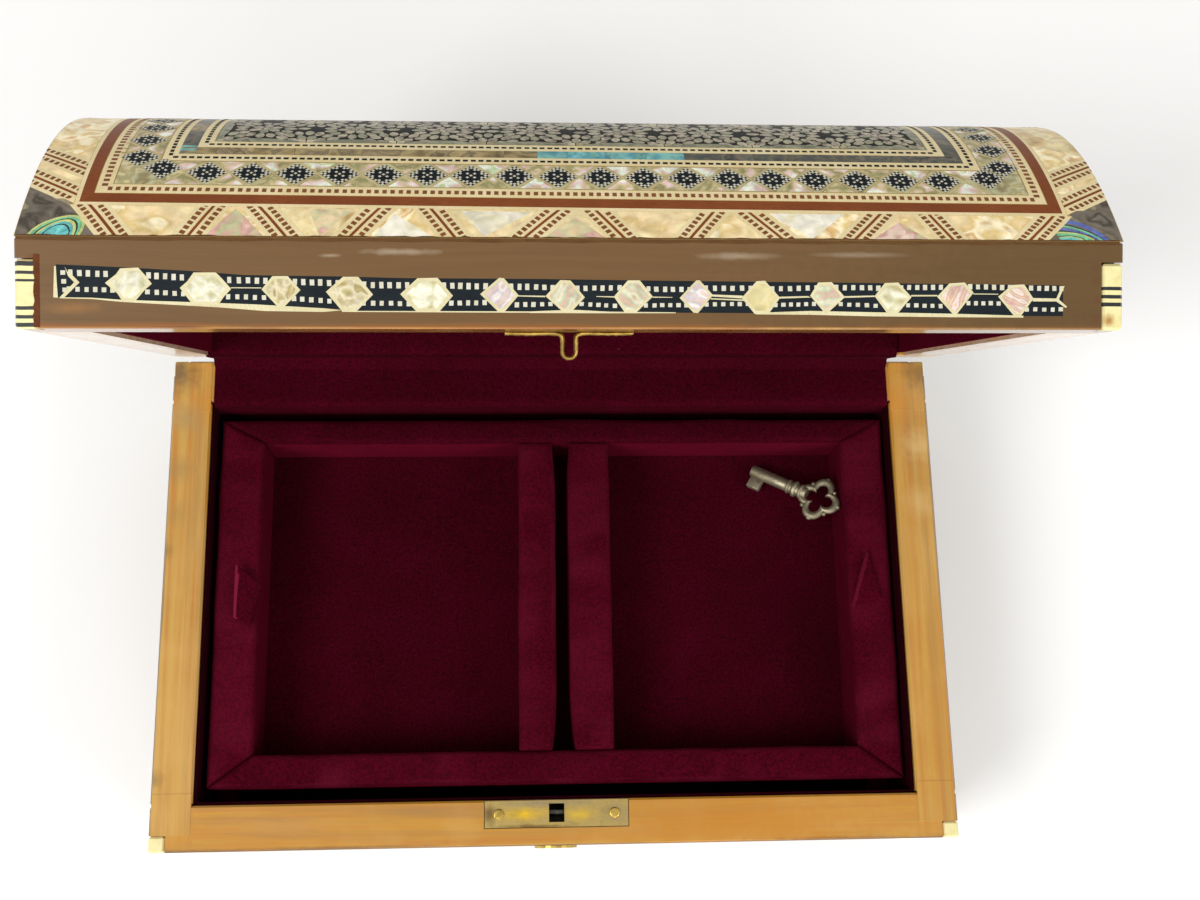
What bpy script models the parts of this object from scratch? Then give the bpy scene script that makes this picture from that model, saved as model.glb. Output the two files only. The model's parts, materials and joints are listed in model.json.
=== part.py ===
"""A wooden jewellery box with a domed, hinged lid, standing open, with its lift-out tray and key."""

import math

import bpy
from mathutils import Matrix, Vector

# Driving sizes of the wooden box, in metres

WIDTH = 0.205
DEPTH = 0.128
BODY_HEIGHT = 0.050
SIDE_WALL = 0.0104
FRONT_WALL = 0.0113
BOTTOM_THICKNESS = 0.004
EDGE_WEAR = 0.0005

# The lid: straight boards below, a bent top panel above, its curve a superellipse
LID_STRAIGHT = 0.0166
DOME_RISE = 0.0318
DOME_POWER = 2.5
DOME_THICKNESS = 0.006
DOME_STEPS = 28
LID_SIDE_PLAY = 0.0012
LID_OPEN_DEG = 74.5
RIM_GAP = 0.0012

# Clearances
JOINT_GAP = 0.0002
CLOTH_GAP = 0.0003
RUNNING_GAP = 0.0003
HEAD_GAP = 0.0001
BORE_GAP = 0.00008

# How far a cutter passes the surface that it opens
OVERCUT = 0.001

# Bone strips let into the outer corners
STRIP_SIZE = 0.004
LID_STRIP_HEIGHT = 0.0125

# Velvet
LINING_THICKNESS = 0.0008
LINING_DROP = 0.0008
HINGE_CLOTH_THICKNESS = 0.0003
HINGE_CLOTH_GAP = 0.00015
HINGE_CLOTH_END_GAP = 0.0006

# The tray, from its outer edge inwards
TRAY_DROP = 0.0035
TRAY_DEPTH = 0.017
TRAY_BASE = 0.0016
TRAY_GAP_LEFT = 0.0014
TRAY_GAP_RIGHT = 0.0006
TRAY_GAP_ENDS = 0.0031
RAIL_LEFT = 0.0114
RAIL_RIGHT = 0.0116
RAIL_FRONT = 0.0083
RAIL_BACK = 0.0064
RAIL_MIDDLE_LEFT = 0.0098
RAIL_MIDDLE_RIGHT = 0.0112
RING_SLOT = 0.0036
LEFT_COMPARTMENT = 0.0683
RAIL_SOFTNESS = 0.0012
LEDGE_WIDTH = 0.005
LEDGE_HEIGHT = 0.006
TAB_LENGTH = 0.015
TAB_WIDTH = 0.0065
TAB_THICKNESS = 0.0009
TAB_LEFT_Y = 0.0005
TAB_RIGHT_Y = 0.0035

# The lock in the front board and the strike under the lid's front board
PLATE_LENGTH = 0.0364
PLATE_WIDTH = 0.0066
PLATE_THICKNESS = 0.0011
SLOT_LENGTH = 0.0039
SLOT_WIDTH = 0.0046
SLOT_EDGE = 0.0008
SLOT_X = -0.0008
CASE_LENGTH = 0.026
CASE_HEIGHT = 0.019
CASE_SLOT_DEPTH = 0.008
SCREW_HEAD_RADIUS = 0.0013
SCREW_HEAD_HEIGHT = 0.0005
SCREW_INSET = 0.0035
STRIKE_LENGTH = 0.0244
STRIKE_THICKNESS = 0.0009
LOOP_WIDTH = 0.0034
LOOP_DROP = 0.0056
LOOP_WIRE = 0.0008
KEYHOLE_RADIUS = 0.0018
KEYHOLE_DROP = 0.012
ESCUTCHEON_RADIUS = 0.0055
ESCUTCHEON_THICKNESS = 0.0006

# Two butt hinges at the back
HINGE_LENGTH = 0.022
HINGE_INSET = 0.040
HINGE_STANDOFF = 0.0003
BARREL_RADIUS = 0.0016
PIN_RADIUS = 0.0007
LEAF_THICKNESS = 0.0007
LEAF_DEPTH = 0.008
CENTRE_KNUCKLE_SHARE = 0.4

# The key, lying in the right compartment with its bow against the end wall
KEY_SHANK_RADIUS = 0.0016
KEY_SHANK_LENGTH = 0.0165
KEY_BORE_RADIUS = 0.0009
KEY_BORE_DEPTH = 0.005
KEY_COLLAR_RADIUS = 0.0019
KEY_COLLAR_WIDTH = 0.0012
KEY_COLLAR_PLACES = (0.0118, 0.0140)
KEY_BIT_LENGTH = 0.0036
KEY_BIT_REACH = 0.0046
KEY_BIT_THICKNESS = 0.0016
KEY_BIT_INSET = 0.0006
KEY_BOW_RADIUS = 0.0038
KEY_BOW_LOBE = 0.0006
KEY_BOW_LOBES = 4
KEY_BOW_WIRE = 0.0009
KEY_BOW_POINTS = 32
KEY_TURN_DEG = -31.8
KEY_LIFT_DEG = 23.0
KEY_TIP_FROM_RIGHT = 0.0217
KEY_TIP_FROM_BACK = 0.0068

# Places worked out from the sizes

RIM = BODY_HEIGHT
LID_RIM = RIM + RIM_GAP
LEFT, RIGHT = -WIDTH / 2, WIDTH / 2
FRONT, BACK = -DEPTH / 2, DEPTH / 2
HINGE_AXIS = Vector((0.0, BACK + HINGE_STANDOFF, RIM + RIM_GAP / 2))
INNER_FRONT, INNER_BACK = FRONT + FRONT_WALL, BACK - FRONT_WALL
INNER_LEFT, INNER_RIGHT = LEFT + SIDE_WALL, RIGHT - SIDE_WALL
LINING_STEP = JOINT_GAP + LINING_THICKNESS
TRAY_TOP = RIM - TRAY_DROP
TRAY_FLOOR = TRAY_TOP - TRAY_DEPTH
TRAY_BOTTOM = TRAY_FLOOR - CLOTH_GAP - TRAY_BASE
TRAY_LEFT = INNER_LEFT + LINING_STEP + TRAY_GAP_LEFT
TRAY_RIGHT = INNER_RIGHT - LINING_STEP - TRAY_GAP_RIGHT
TRAY_FRONT = INNER_FRONT + LINING_STEP + TRAY_GAP_ENDS
TRAY_BACK = INNER_BACK - LINING_STEP - TRAY_GAP_ENDS
RING_SLOT_LEFT = TRAY_LEFT + RAIL_LEFT + LEFT_COMPARTMENT + RAIL_MIDDLE_LEFT
RING_SLOT_RIGHT = RING_SLOT_LEFT + RING_SLOT
PLATE_BACK = INNER_FRONT - JOINT_GAP
PLATE_FRONT = PLATE_BACK - PLATE_WIDTH
SLOT_BACK = PLATE_BACK - SLOT_EDGE
SLOT_FRONT = SLOT_BACK - SLOT_WIDTH
CASE_BACK = PLATE_BACK - SLOT_EDGE / 2
CASE_FRONT = SLOT_FRONT - SLOT_EDGE / 2
CASE_TOP = RIM - PLATE_THICKNESS - JOINT_GAP


def collection(name):
    made = bpy.data.collections.new(name)
    bpy.context.scene.collection.children.link(made)
    return made


def material(name, colour, roughness, metallic=0.0):
    made = bpy.data.materials.new(name)
    made.use_nodes = True
    shader = made.node_tree.nodes["Principled BSDF"]
    shader.inputs["Base Color"].default_value = (*colour, 1.0)
    shader.inputs["Roughness"].default_value = roughness
    shader.inputs["Metallic"].default_value = metallic
    return made


for old in list(bpy.data.objects):
    bpy.data.objects.remove(old)

PARTS = collection("shell_box")
CUTTERS = collection("cutters")

RIM_WOOD = material("varnished_wood", (0.68, 0.38, 0.10), 0.35)
LACQUER = material("brown_lacquer", (0.17, 0.08, 0.035), 0.2)
BONE = material("bone", (0.88, 0.81, 0.43), 0.4)
VELVET = material("burgundy_velvet", (0.06, 0.003, 0.012), 0.9)
BRASS = material("old_brass", (0.50, 0.42, 0.22), 0.35, 1.0)
NICKEL = material("dull_nickel", (0.42, 0.40, 0.30), 0.45, 1.0)


def keep(thing, name, where=PARTS, surface=None):
    """Name an object, move it to its collection and give it its own copy of a material."""
    thing.name = thing.data.name = name
    for holder in list(thing.users_collection):
        holder.objects.unlink(thing)
    where.objects.link(thing)
    thing.data.materials.clear()
    if surface is not None:
        own = surface.copy()
        own.name = f"{name}_{surface.name}"
        thing.data.materials.append(own)
    return thing


def box(name, low, high, surface, bevel=0.0, segments=1, where=PARTS):
    low, high = Vector(low), Vector(high)
    bpy.ops.mesh.primitive_cube_add(size=1, location=(low + high) / 2)
    made = bpy.context.object
    made.scale = high - low
    bpy.ops.object.transform_apply(location=False, rotation=False, scale=True)
    if bevel:
        edge = made.modifiers.new("worn_edges", "BEVEL")
        edge.width = bevel
        edge.segments = segments
    return keep(made, name, where, surface)


def cylinder(name, centre, radius, length, axis, surface, sides=24, where=PARTS):
    turns = {"X": (0, math.pi / 2, 0), "Y": (math.pi / 2, 0, 0), "Z": (0, 0, 0)}
    bpy.ops.mesh.primitive_cylinder_add(
        vertices=sides, radius=radius, depth=length, location=centre, rotation=turns[axis]
    )
    made = bpy.context.object
    bpy.ops.object.transform_apply(location=False, rotation=True, scale=False)
    made.data.shade_smooth()
    made.data.set_sharp_from_angle(angle=math.radians(40))
    return keep(made, name, where, surface)


def as_mesh(curve_object):
    """Replace a curve object with a mesh object whose caps are welded."""
    depsgraph = bpy.context.evaluated_depsgraph_get()
    mesh = bpy.data.meshes.new_from_object(curve_object.evaluated_get(depsgraph))
    made = bpy.data.objects.new(curve_object.name, mesh)
    made.matrix_world = curve_object.matrix_world
    bpy.context.scene.collection.objects.link(made)
    bpy.data.objects.remove(curve_object)
    bpy.context.view_layer.objects.active = made
    bpy.ops.object.select_all(action="DESELECT")
    made.select_set(True)
    bpy.ops.object.mode_set(mode="EDIT")
    bpy.ops.mesh.select_all(action="SELECT")
    bpy.ops.mesh.remove_doubles(threshold=0.00001)
    bpy.ops.mesh.normals_make_consistent(inside=False)
    bpy.ops.object.mode_set(mode="OBJECT")
    return made


def drawn(name, points, cyclic=True):
    """A poly curve object through points given as (x, y) or (x, y, z)."""
    curve = bpy.data.curves.new(name, "CURVE")
    spline = curve.splines.new("POLY")
    spline.points.add(len(points) - 1)
    for point, place in zip(spline.points, points):
        point.co = (*place, 0.0, 1.0) if len(place) == 2 else (*place, 1.0)
    spline.use_cyclic_u = cyclic
    made = bpy.data.objects.new(name, curve)
    bpy.context.scene.collection.objects.link(made)
    return made


def end_profile(name, outline, x_low, x_high, surface, where=PARTS):
    """Extrude an outline of (y, z) points from x_low to x_high."""
    made = drawn(name, outline)
    made.data.dimensions = "2D"
    made.data.fill_mode = "BOTH"
    made.data.extrude = (x_high - x_low) / 2
    made.location.x = (x_low + x_high) / 2
    made.rotation_euler = (math.pi / 2, 0, math.pi / 2)
    bpy.context.view_layer.update()
    made = as_mesh(made)
    made.data.shade_smooth()
    made.data.set_sharp_from_angle(angle=math.radians(25))
    return keep(made, name, where, surface)


def combine(target, other, operation):
    """Cut another object out of a target, or join it on. The other one becomes a guide."""
    other.hide_render = True
    other.display_type = "WIRE"
    step = target.modifiers.new(f"{operation.lower()}_{other.name}", "BOOLEAN")
    step.operation = operation
    step.object = other
    return target


def cut(target, other):
    return combine(target, other, "DIFFERENCE")


def join(target, other):
    return combine(target, other, "UNION")


LID = bpy.data.objects.new("lid_hinge_axis", None)
PARTS.objects.link(LID)
LID.location = HINGE_AXIS
LID.rotation_euler.x = -math.radians(LID_OPEN_DEG)


def hang(thing, side_play=LID_SIDE_PLAY):
    """Turn an object made in its closed place about the hinge axis, with the lid."""
    thing.location = thing.location - HINGE_AXIS + Vector((side_play, 0, 0))
    thing.parent = LID
    return thing


def dome_outline(inset):
    """Points (y, z) on the dome's curve, front to back, moved inwards by an inset."""
    half_span, rise = DEPTH / 2 - inset, DOME_RISE - inset
    base = LID_RIM + LID_STRAIGHT
    points = []
    for i in range(DOME_STEPS + 1):
        y = -half_span * math.cos(math.pi * i / DOME_STEPS)
        points.append((y, base + rise * (1 - abs(y / half_span) ** DOME_POWER)))
    return points


def arch_outline(inset, foot_half_span, foot):
    """The dome's curve over straight sides that stand at a half span and end at a foot height."""
    top = [p for p in dome_outline(inset) if abs(p[0]) < foot_half_span - RUNNING_GAP]
    half_span, rise = DEPTH / 2 - inset, DOME_RISE - inset
    shoulder = LID_RIM + LID_STRAIGHT + rise * (1 - (foot_half_span / half_span) ** DOME_POWER)
    side = [(foot_half_span, shoulder), (foot_half_span, foot), (-foot_half_span, foot)]
    return top + side + [(-foot_half_span, shoulder)]


def corner_places():
    for front_back, y, inward_y in (("front", FRONT, 1), ("back", BACK, -1)):
        for side, x, inward_x in (("left", LEFT, 1), ("right", RIGHT, -1)):
            yield f"{front_back}_{side}", front_back, x, y, inward_x, inward_y


def square_at_corner(x, y, inward_x, inward_y, size, low_z, high_z):
    """The low and high corners of a square post let in from an outside corner."""
    far_x, far_y = x + inward_x * size, y + inward_y * size
    return (min(x, far_x), min(y, far_y), low_z), (max(x, far_x), max(y, far_y), high_z)


def corner_recess(name, x, y, inward_x, inward_y, low_z, high_z):
    """A cutter for a strip's rebate: the strip and its glue line, open at the outside."""
    low, high = square_at_corner(
        x - inward_x * OVERCUT, y - inward_y * OVERCUT, inward_x, inward_y,
        STRIP_SIZE + JOINT_GAP + OVERCUT, low_z, high_z,
    )
    return box(name, low, high, None, where=CUTTERS)


def make_body_boards():
    front = box("body_front_board", (LEFT, FRONT, 0), (RIGHT, INNER_FRONT, RIM), RIM_WOOD, EDGE_WEAR)
    back = box("body_back_board", (LEFT, INNER_BACK, 0), (RIGHT, BACK, RIM), RIM_WOOD, EDGE_WEAR)
    boards = {"front": front, "back": back}
    side_low, side_high = INNER_FRONT + JOINT_GAP, INNER_BACK - JOINT_GAP
    box("body_left_board", (LEFT, side_low, 0), (INNER_LEFT, side_high, RIM), RIM_WOOD, EDGE_WEAR)
    box("body_right_board", (INNER_RIGHT, side_low, 0), (RIGHT, side_high, RIM), RIM_WOOD, EDGE_WEAR)
    box(
        "body_bottom_board",
        (INNER_LEFT + JOINT_GAP, side_low, 0),
        (INNER_RIGHT - JOINT_GAP, side_high, BOTTOM_THICKNESS),
        RIM_WOOD,
    )
    for corner, front_back, x, y, inward_x, inward_y in corner_places():
        low, high = square_at_corner(x, y, inward_x, inward_y, STRIP_SIZE, 0, RIM)
        box(f"body_corner_strip_{corner}", low, high, BONE, EDGE_WEAR)
        recess = corner_recess(f"body_rebate_{corner}", x, y, inward_x, inward_y, -OVERCUT, RIM + OVERCUT)
        cut(boards[front_back], recess)
    return boards


def make_body_lining():
    floor = BOTTOM_THICKNESS + JOINT_GAP
    top = RIM - LINING_DROP
    lining = box(
        "body_lining",
        (INNER_LEFT + JOINT_GAP, INNER_FRONT + JOINT_GAP, floor),
        (INNER_RIGHT - JOINT_GAP, INNER_BACK - JOINT_GAP, top),
        VELVET,
    )
    hollow = box(
        "body_lining_hollow",
        (INNER_LEFT + LINING_STEP, INNER_FRONT + LINING_STEP, floor + LINING_THICKNESS),
        (INNER_RIGHT - LINING_STEP, INNER_BACK - LINING_STEP, top + LINING_THICKNESS),
        None, where=CUTTERS,
    )
    cut(lining, hollow)


def make_tray_ledges():
    top = TRAY_BOTTOM - CLOTH_GAP
    front, back = INNER_FRONT + LINING_STEP + CLOTH_GAP, INNER_BACK - LINING_STEP - CLOTH_GAP
    left, right = INNER_LEFT + LINING_STEP + CLOTH_GAP, INNER_RIGHT - LINING_STEP - CLOTH_GAP
    places = {"left": (left, left + LEDGE_WIDTH), "right": (right - LEDGE_WIDTH, right)}
    for side, (low_x, high_x) in places.items():
        box(f"tray_ledge_{side}", (low_x, front, top - LEDGE_HEIGHT), (high_x, back, top), VELVET)


def make_tray():
    base_top = TRAY_BOTTOM + TRAY_BASE
    box("tray_base", (TRAY_LEFT, TRAY_FRONT, TRAY_BOTTOM), (TRAY_RIGHT, TRAY_BACK, base_top), VELVET)
    inner_front, inner_back = TRAY_FRONT + RAIL_FRONT, TRAY_BACK - RAIL_BACK
    cross_front, cross_back = inner_front + JOINT_GAP, inner_back - JOINT_GAP
    plan = {
        "front": (TRAY_LEFT, TRAY_FRONT, TRAY_RIGHT, inner_front),
        "back": (TRAY_LEFT, inner_back, TRAY_RIGHT, TRAY_BACK),
        "left": (TRAY_LEFT, cross_front, TRAY_LEFT + RAIL_LEFT, cross_back),
        "right": (TRAY_RIGHT - RAIL_RIGHT, cross_front, TRAY_RIGHT, cross_back),
        "middle_left": (RING_SLOT_LEFT - RAIL_MIDDLE_LEFT, cross_front, RING_SLOT_LEFT, cross_back),
        "middle_right": (RING_SLOT_RIGHT, cross_front, RING_SLOT_RIGHT + RAIL_MIDDLE_RIGHT, cross_back),
    }
    for side, (x_low, y_low, x_high, y_high) in plan.items():
        box(
            f"tray_rail_{side}", (x_low, y_low, TRAY_FLOOR), (x_high, y_high, TRAY_TOP),
            VELVET, RAIL_SOFTNESS, segments=2,
        )


def make_pull_tabs():
    """Two short ribbons, each lying over the inner edge of an end rail."""
    low_z = TRAY_TOP + CLOTH_GAP
    left_x = TRAY_LEFT + RAIL_LEFT - TAB_WIDTH
    right_x = TRAY_RIGHT - RAIL_RIGHT
    for side, x, y in (("left", left_x, TAB_LEFT_Y), ("right", right_x, TAB_RIGHT_Y)):
        box(
            f"pull_tab_{side}",
            (x, y - TAB_LENGTH / 2, low_z), (x + TAB_WIDTH, y + TAB_LENGTH / 2, low_z + TAB_THICKNESS),
            VELVET,
        )


def make_lock(front_board):
    middle = SLOT_X
    plate_low, plate_high = middle - PLATE_LENGTH / 2, middle + PLATE_LENGTH / 2
    screw_y = (PLATE_FRONT + PLATE_BACK) / 2
    case_low, case_high = middle - CASE_LENGTH / 2, middle + CASE_LENGTH / 2
    plate = box(
        "lock_plate", (plate_low, PLATE_FRONT, RIM - PLATE_THICKNESS), (plate_high, PLATE_BACK, RIM), BRASS
    )
    case = box(
        "lock_case", (case_low, CASE_FRONT, CASE_TOP - CASE_HEIGHT), (case_high, CASE_BACK, CASE_TOP), BRASS
    )
    slot = box(
        "lock_slot",
        (middle - SLOT_LENGTH / 2, SLOT_FRONT, CASE_TOP - CASE_SLOT_DEPTH),
        (middle + SLOT_LENGTH / 2, SLOT_BACK, RIM + OVERCUT),
        None, where=CUTTERS,
    )
    cut(plate, slot)
    cut(case, slot)
    plate_seat = box(
        "lock_plate_seat",
        (plate_low - JOINT_GAP, PLATE_FRONT - JOINT_GAP, RIM - PLATE_THICKNESS - JOINT_GAP),
        (plate_high + JOINT_GAP, INNER_FRONT + OVERCUT, RIM + OVERCUT),
        None, where=CUTTERS,
    )
    mortise = box(
        "lock_mortise",
        (case_low - JOINT_GAP, CASE_FRONT - JOINT_GAP, CASE_TOP - CASE_HEIGHT - JOINT_GAP),
        (case_high + JOINT_GAP, CASE_BACK + JOINT_GAP, RIM + OVERCUT),
        None, where=CUTTERS,
    )
    keyhole_z = RIM - KEYHOLE_DROP
    keyhole_front = FRONT - ESCUTCHEON_THICKNESS - OVERCUT
    keyhole_back = CASE_FRONT + OVERCUT / 2
    keyhole = cylinder(
        "keyhole", (middle, (keyhole_front + keyhole_back) / 2, keyhole_z),
        KEYHOLE_RADIUS, keyhole_back - keyhole_front, "Y", None, where=CUTTERS,
    )
    for cutter in (plate_seat, mortise, keyhole):
        cut(front_board, cutter)
    cut(case, keyhole)
    escutcheon = cylinder(
        "keyhole_escutcheon", (middle, FRONT - JOINT_GAP - ESCUTCHEON_THICKNESS / 2, keyhole_z),
        ESCUTCHEON_RADIUS, ESCUTCHEON_THICKNESS, "Y", BRASS,
    )
    cut(escutcheon, keyhole)
    for side, x in (("left", plate_low + SCREW_INSET), ("right", plate_high - SCREW_INSET)):
        cylinder(
            f"lock_screw_{side}", (x, screw_y, RIM + HEAD_GAP + SCREW_HEAD_HEIGHT / 2),
            SCREW_HEAD_RADIUS, SCREW_HEAD_HEIGHT, "Z", BRASS, sides=16,
        )


def make_strike(lid_front_board):
    """A thin plate on the lid's rim, with the loop that drops into the lock's slot."""
    middle_y = (SLOT_FRONT + SLOT_BACK) / 2
    half_depth = SLOT_WIDTH / 2 - RUNNING_GAP * 1.5
    low_x, high_x = SLOT_X - STRIKE_LENGTH / 2, SLOT_X + STRIKE_LENGTH / 2
    plate = box(
        "strike_plate",
        (low_x, middle_y - half_depth, LID_RIM),
        (high_x, middle_y + half_depth, LID_RIM + STRIKE_THICKNESS),
        BRASS,
    )
    loop = box(
        "strike_loop",
        (SLOT_X - LOOP_WIDTH / 2, middle_y - half_depth, LID_RIM - LOOP_DROP),
        (SLOT_X + LOOP_WIDTH / 2, middle_y + half_depth, LID_RIM + STRIKE_THICKNESS / 2),
        None, where=CUTTERS,
    )
    hole = box(
        "strike_loop_hole",
        (SLOT_X - LOOP_WIDTH / 2 + LOOP_WIRE, middle_y - half_depth - OVERCUT, LID_RIM - LOOP_DROP + LOOP_WIRE),
        (SLOT_X + LOOP_WIDTH / 2 - LOOP_WIRE, middle_y + half_depth + OVERCUT, LID_RIM - LOOP_WIRE / 2),
        None, where=CUTTERS,
    )
    seat = box(
        "strike_seat",
        (low_x - JOINT_GAP, middle_y - half_depth - JOINT_GAP, LID_RIM - OVERCUT),
        (high_x + JOINT_GAP, middle_y + half_depth + JOINT_GAP, LID_RIM + STRIKE_THICKNESS + JOINT_GAP),
        None, where=CUTTERS,
    )
    for piece in (plate, loop, hole, seat):
        hang(piece, side_play=0)
    join(plate, loop)
    cut(plate, hole)
    cut(lid_front_board, seat)


def make_lid_boards():
    top = LID_RIM + LID_STRAIGHT - JOINT_GAP
    front = box("lid_front_board", (LEFT, FRONT, LID_RIM), (RIGHT, INNER_FRONT, top), RIM_WOOD, EDGE_WEAR / 2)
    back = box("lid_back_board", (LEFT, INNER_BACK, LID_RIM), (RIGHT, BACK, top), RIM_WOOD, EDGE_WEAR / 2)
    boards = {"front": hang(front), "back": hang(back)}
    for corner, front_back, x, y, inward_x, inward_y in corner_places():
        strip_top = LID_RIM + LID_STRIP_HEIGHT
        low, high = square_at_corner(x, y, inward_x, inward_y, STRIP_SIZE, LID_RIM, strip_top)
        hang(box(f"lid_corner_strip_{corner}", low, high, BONE, EDGE_WEAR))
        recess = corner_recess(
            f"lid_rebate_{corner}", x, y, inward_x, inward_y, LID_RIM - OVERCUT, strip_top + JOINT_GAP
        )
        cut(boards[front_back], hang(recess))
    return boards


def make_lid_ends():
    """Arched end boards, their feet between the straight boards and their shoulders over them."""
    inset = DOME_THICKNESS + JOINT_GAP
    shoulder = LID_RIM + LID_STRAIGHT + JOINT_GAP
    foot_half_span = DEPTH / 2 - FRONT_WALL - JOINT_GAP
    arch = [p for p in dome_outline(inset) if p[1] > shoulder + RUNNING_GAP]
    outer_half_span = (DEPTH / 2 - inset) * (1 - JOINT_GAP / (DOME_RISE - inset)) ** (1 / DOME_POWER)
    outline = arch + [
        (outer_half_span, shoulder), (foot_half_span, shoulder), (foot_half_span, LID_RIM),
        (-foot_half_span, LID_RIM), (-foot_half_span, shoulder), (-outer_half_span, shoulder),
    ]
    hang(end_profile("lid_left_end", outline, LEFT, INNER_LEFT, LACQUER))
    hang(end_profile("lid_right_end", outline, INNER_RIGHT, RIGHT, LACQUER))


def make_lid_top():
    outer = dome_outline(0.0)
    inner = dome_outline(DOME_THICKNESS)
    hang(end_profile("lid_top", outer + inner[::-1], LEFT, RIGHT, LACQUER))


def make_lid_lining():
    top_inset = DOME_THICKNESS + JOINT_GAP
    half_span = DEPTH / 2 - FRONT_WALL - JOINT_GAP
    foot = LID_RIM + LINING_DROP
    lining = end_profile(
        "lid_lining", arch_outline(top_inset, half_span, foot),
        INNER_LEFT + JOINT_GAP, INNER_RIGHT - JOINT_GAP, VELVET,
    )
    hollow = end_profile(
        "lid_lining_hollow",
        arch_outline(top_inset + LINING_THICKNESS, half_span - LINING_THICKNESS, LID_RIM - OVERCUT),
        INNER_LEFT + LINING_STEP, INNER_RIGHT - LINING_STEP, None, where=CUTTERS,
    )
    cut(hang(lining), hang(hollow))


def make_hinge_cloth():
    """The velvet strip over the back boards' rims, as the half on each side of the hinge."""
    left, right = INNER_LEFT + HINGE_CLOTH_END_GAP, INNER_RIGHT - HINGE_CLOTH_END_GAP
    back = HINGE_AXIS.y - BARREL_RADIUS - RUNNING_GAP
    step, thick = HINGE_CLOTH_GAP, HINGE_CLOTH_THICKNESS
    box("hinge_cloth_body", (left, INNER_BACK, RIM + step), (right, back, RIM + step + thick), VELVET)
    lid_half = box(
        "hinge_cloth_lid", (left, INNER_BACK, LID_RIM - step - thick), (right, back, LID_RIM - step), VELVET
    )
    hang(lid_half, side_play=0)


def make_hinge(side, x, body_board, lid_board):
    """A butt hinge: a pin, a body leaf with two knuckles and a lid leaf with one between them."""
    axis_y, axis_z = HINGE_AXIS.y, HINGE_AXIS.z
    half = HINGE_LENGTH / 2
    centre_half = HINGE_LENGTH * CENTRE_KNUCKLE_SHARE / 2
    leaf_front = BACK - LEAF_DEPTH
    outer_half = (half - centre_half - RUNNING_GAP) / 2
    names = {"body": f"hinge_{side}_body_leaf", "lid": f"hinge_{side}_lid_leaf"}

    def leaf(holder, low_z, high_z):
        return box(names[holder], (x - half, leaf_front, low_z), (x + half, axis_y, high_z), BRASS)

    def knuckle(label, middle, half_length):
        return cylinder(
            label, (middle, axis_y, axis_z), BARREL_RADIUS, half_length * 2, "X", None, where=CUTTERS
        )

    def bore(holder):
        return cylinder(
            f"{names[holder]}_bore", (x, axis_y, axis_z), PIN_RADIUS + BORE_GAP,
            HINGE_LENGTH + OVERCUT, "X", None, where=CUTTERS,
        )

    body_leaf = leaf("body", RIM - LEAF_THICKNESS, RIM)
    near_axis = axis_y - BARREL_RADIUS - RUNNING_GAP
    centre_room = centre_half + RUNNING_GAP
    centre_notch = box(
        f"{names['body']}_notch",
        (x - centre_room, near_axis, RIM - OVERCUT), (x + centre_room, BACK + OVERCUT, RIM + OVERCUT),
        None, where=CUTTERS,
    )
    cut(body_leaf, centre_notch)
    for label, sign in (("left", -1), ("right", 1)):
        join(body_leaf, knuckle(f"{names['body']}_knuckle_{label}", x + sign * (half - outer_half), outer_half))
    cut(body_leaf, bore("body"))

    lid_leaf = hang(leaf("lid", LID_RIM, LID_RIM + LEAF_THICKNESS), side_play=0)
    for label, sign in (("left", -1), ("right", 1)):
        inner, outer = x + sign * centre_half, x + sign * (half + OVERCUT)
        room = box(
            f"{names['lid']}_room_{label}",
            (min(inner, outer), near_axis, LID_RIM - OVERCUT), (max(inner, outer), BACK + OVERCUT, LID_RIM + OVERCUT),
            None, where=CUTTERS,
        )
        cut(lid_leaf, hang(room, side_play=0))
    join(lid_leaf, hang(knuckle(f"{names['lid']}_knuckle", x, centre_half), side_play=0))
    cut(lid_leaf, hang(bore("lid"), side_play=0))
    cylinder(f"hinge_{side}_pin", (x, axis_y, axis_z), PIN_RADIUS, HINGE_LENGTH, "X", BRASS, sides=16)

    for holder, board, low_z, high_z in (
        ("body", body_board, RIM - LEAF_THICKNESS - JOINT_GAP, RIM + OVERCUT),
        ("lid", lid_board, LID_RIM - OVERCUT, LID_RIM + LEAF_THICKNESS + JOINT_GAP),
    ):
        seat = box(
            f"{names[holder]}_seat",
            (x - half - JOINT_GAP, leaf_front - JOINT_GAP, low_z), (x + half + JOINT_GAP, BACK + OVERCUT, high_z),
            None, where=CUTTERS,
        )
        channel = cylinder(
            f"{names[holder]}_channel", (x, axis_y, axis_z), BARREL_RADIUS + RUNNING_GAP,
            HINGE_LENGTH + 2 * RUNNING_GAP, "X", None, where=CUTTERS,
        )
        for cutter in (seat, channel):
            if holder == "lid":
                hang(cutter, side_play=0)
            cut(board, cutter)


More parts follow.
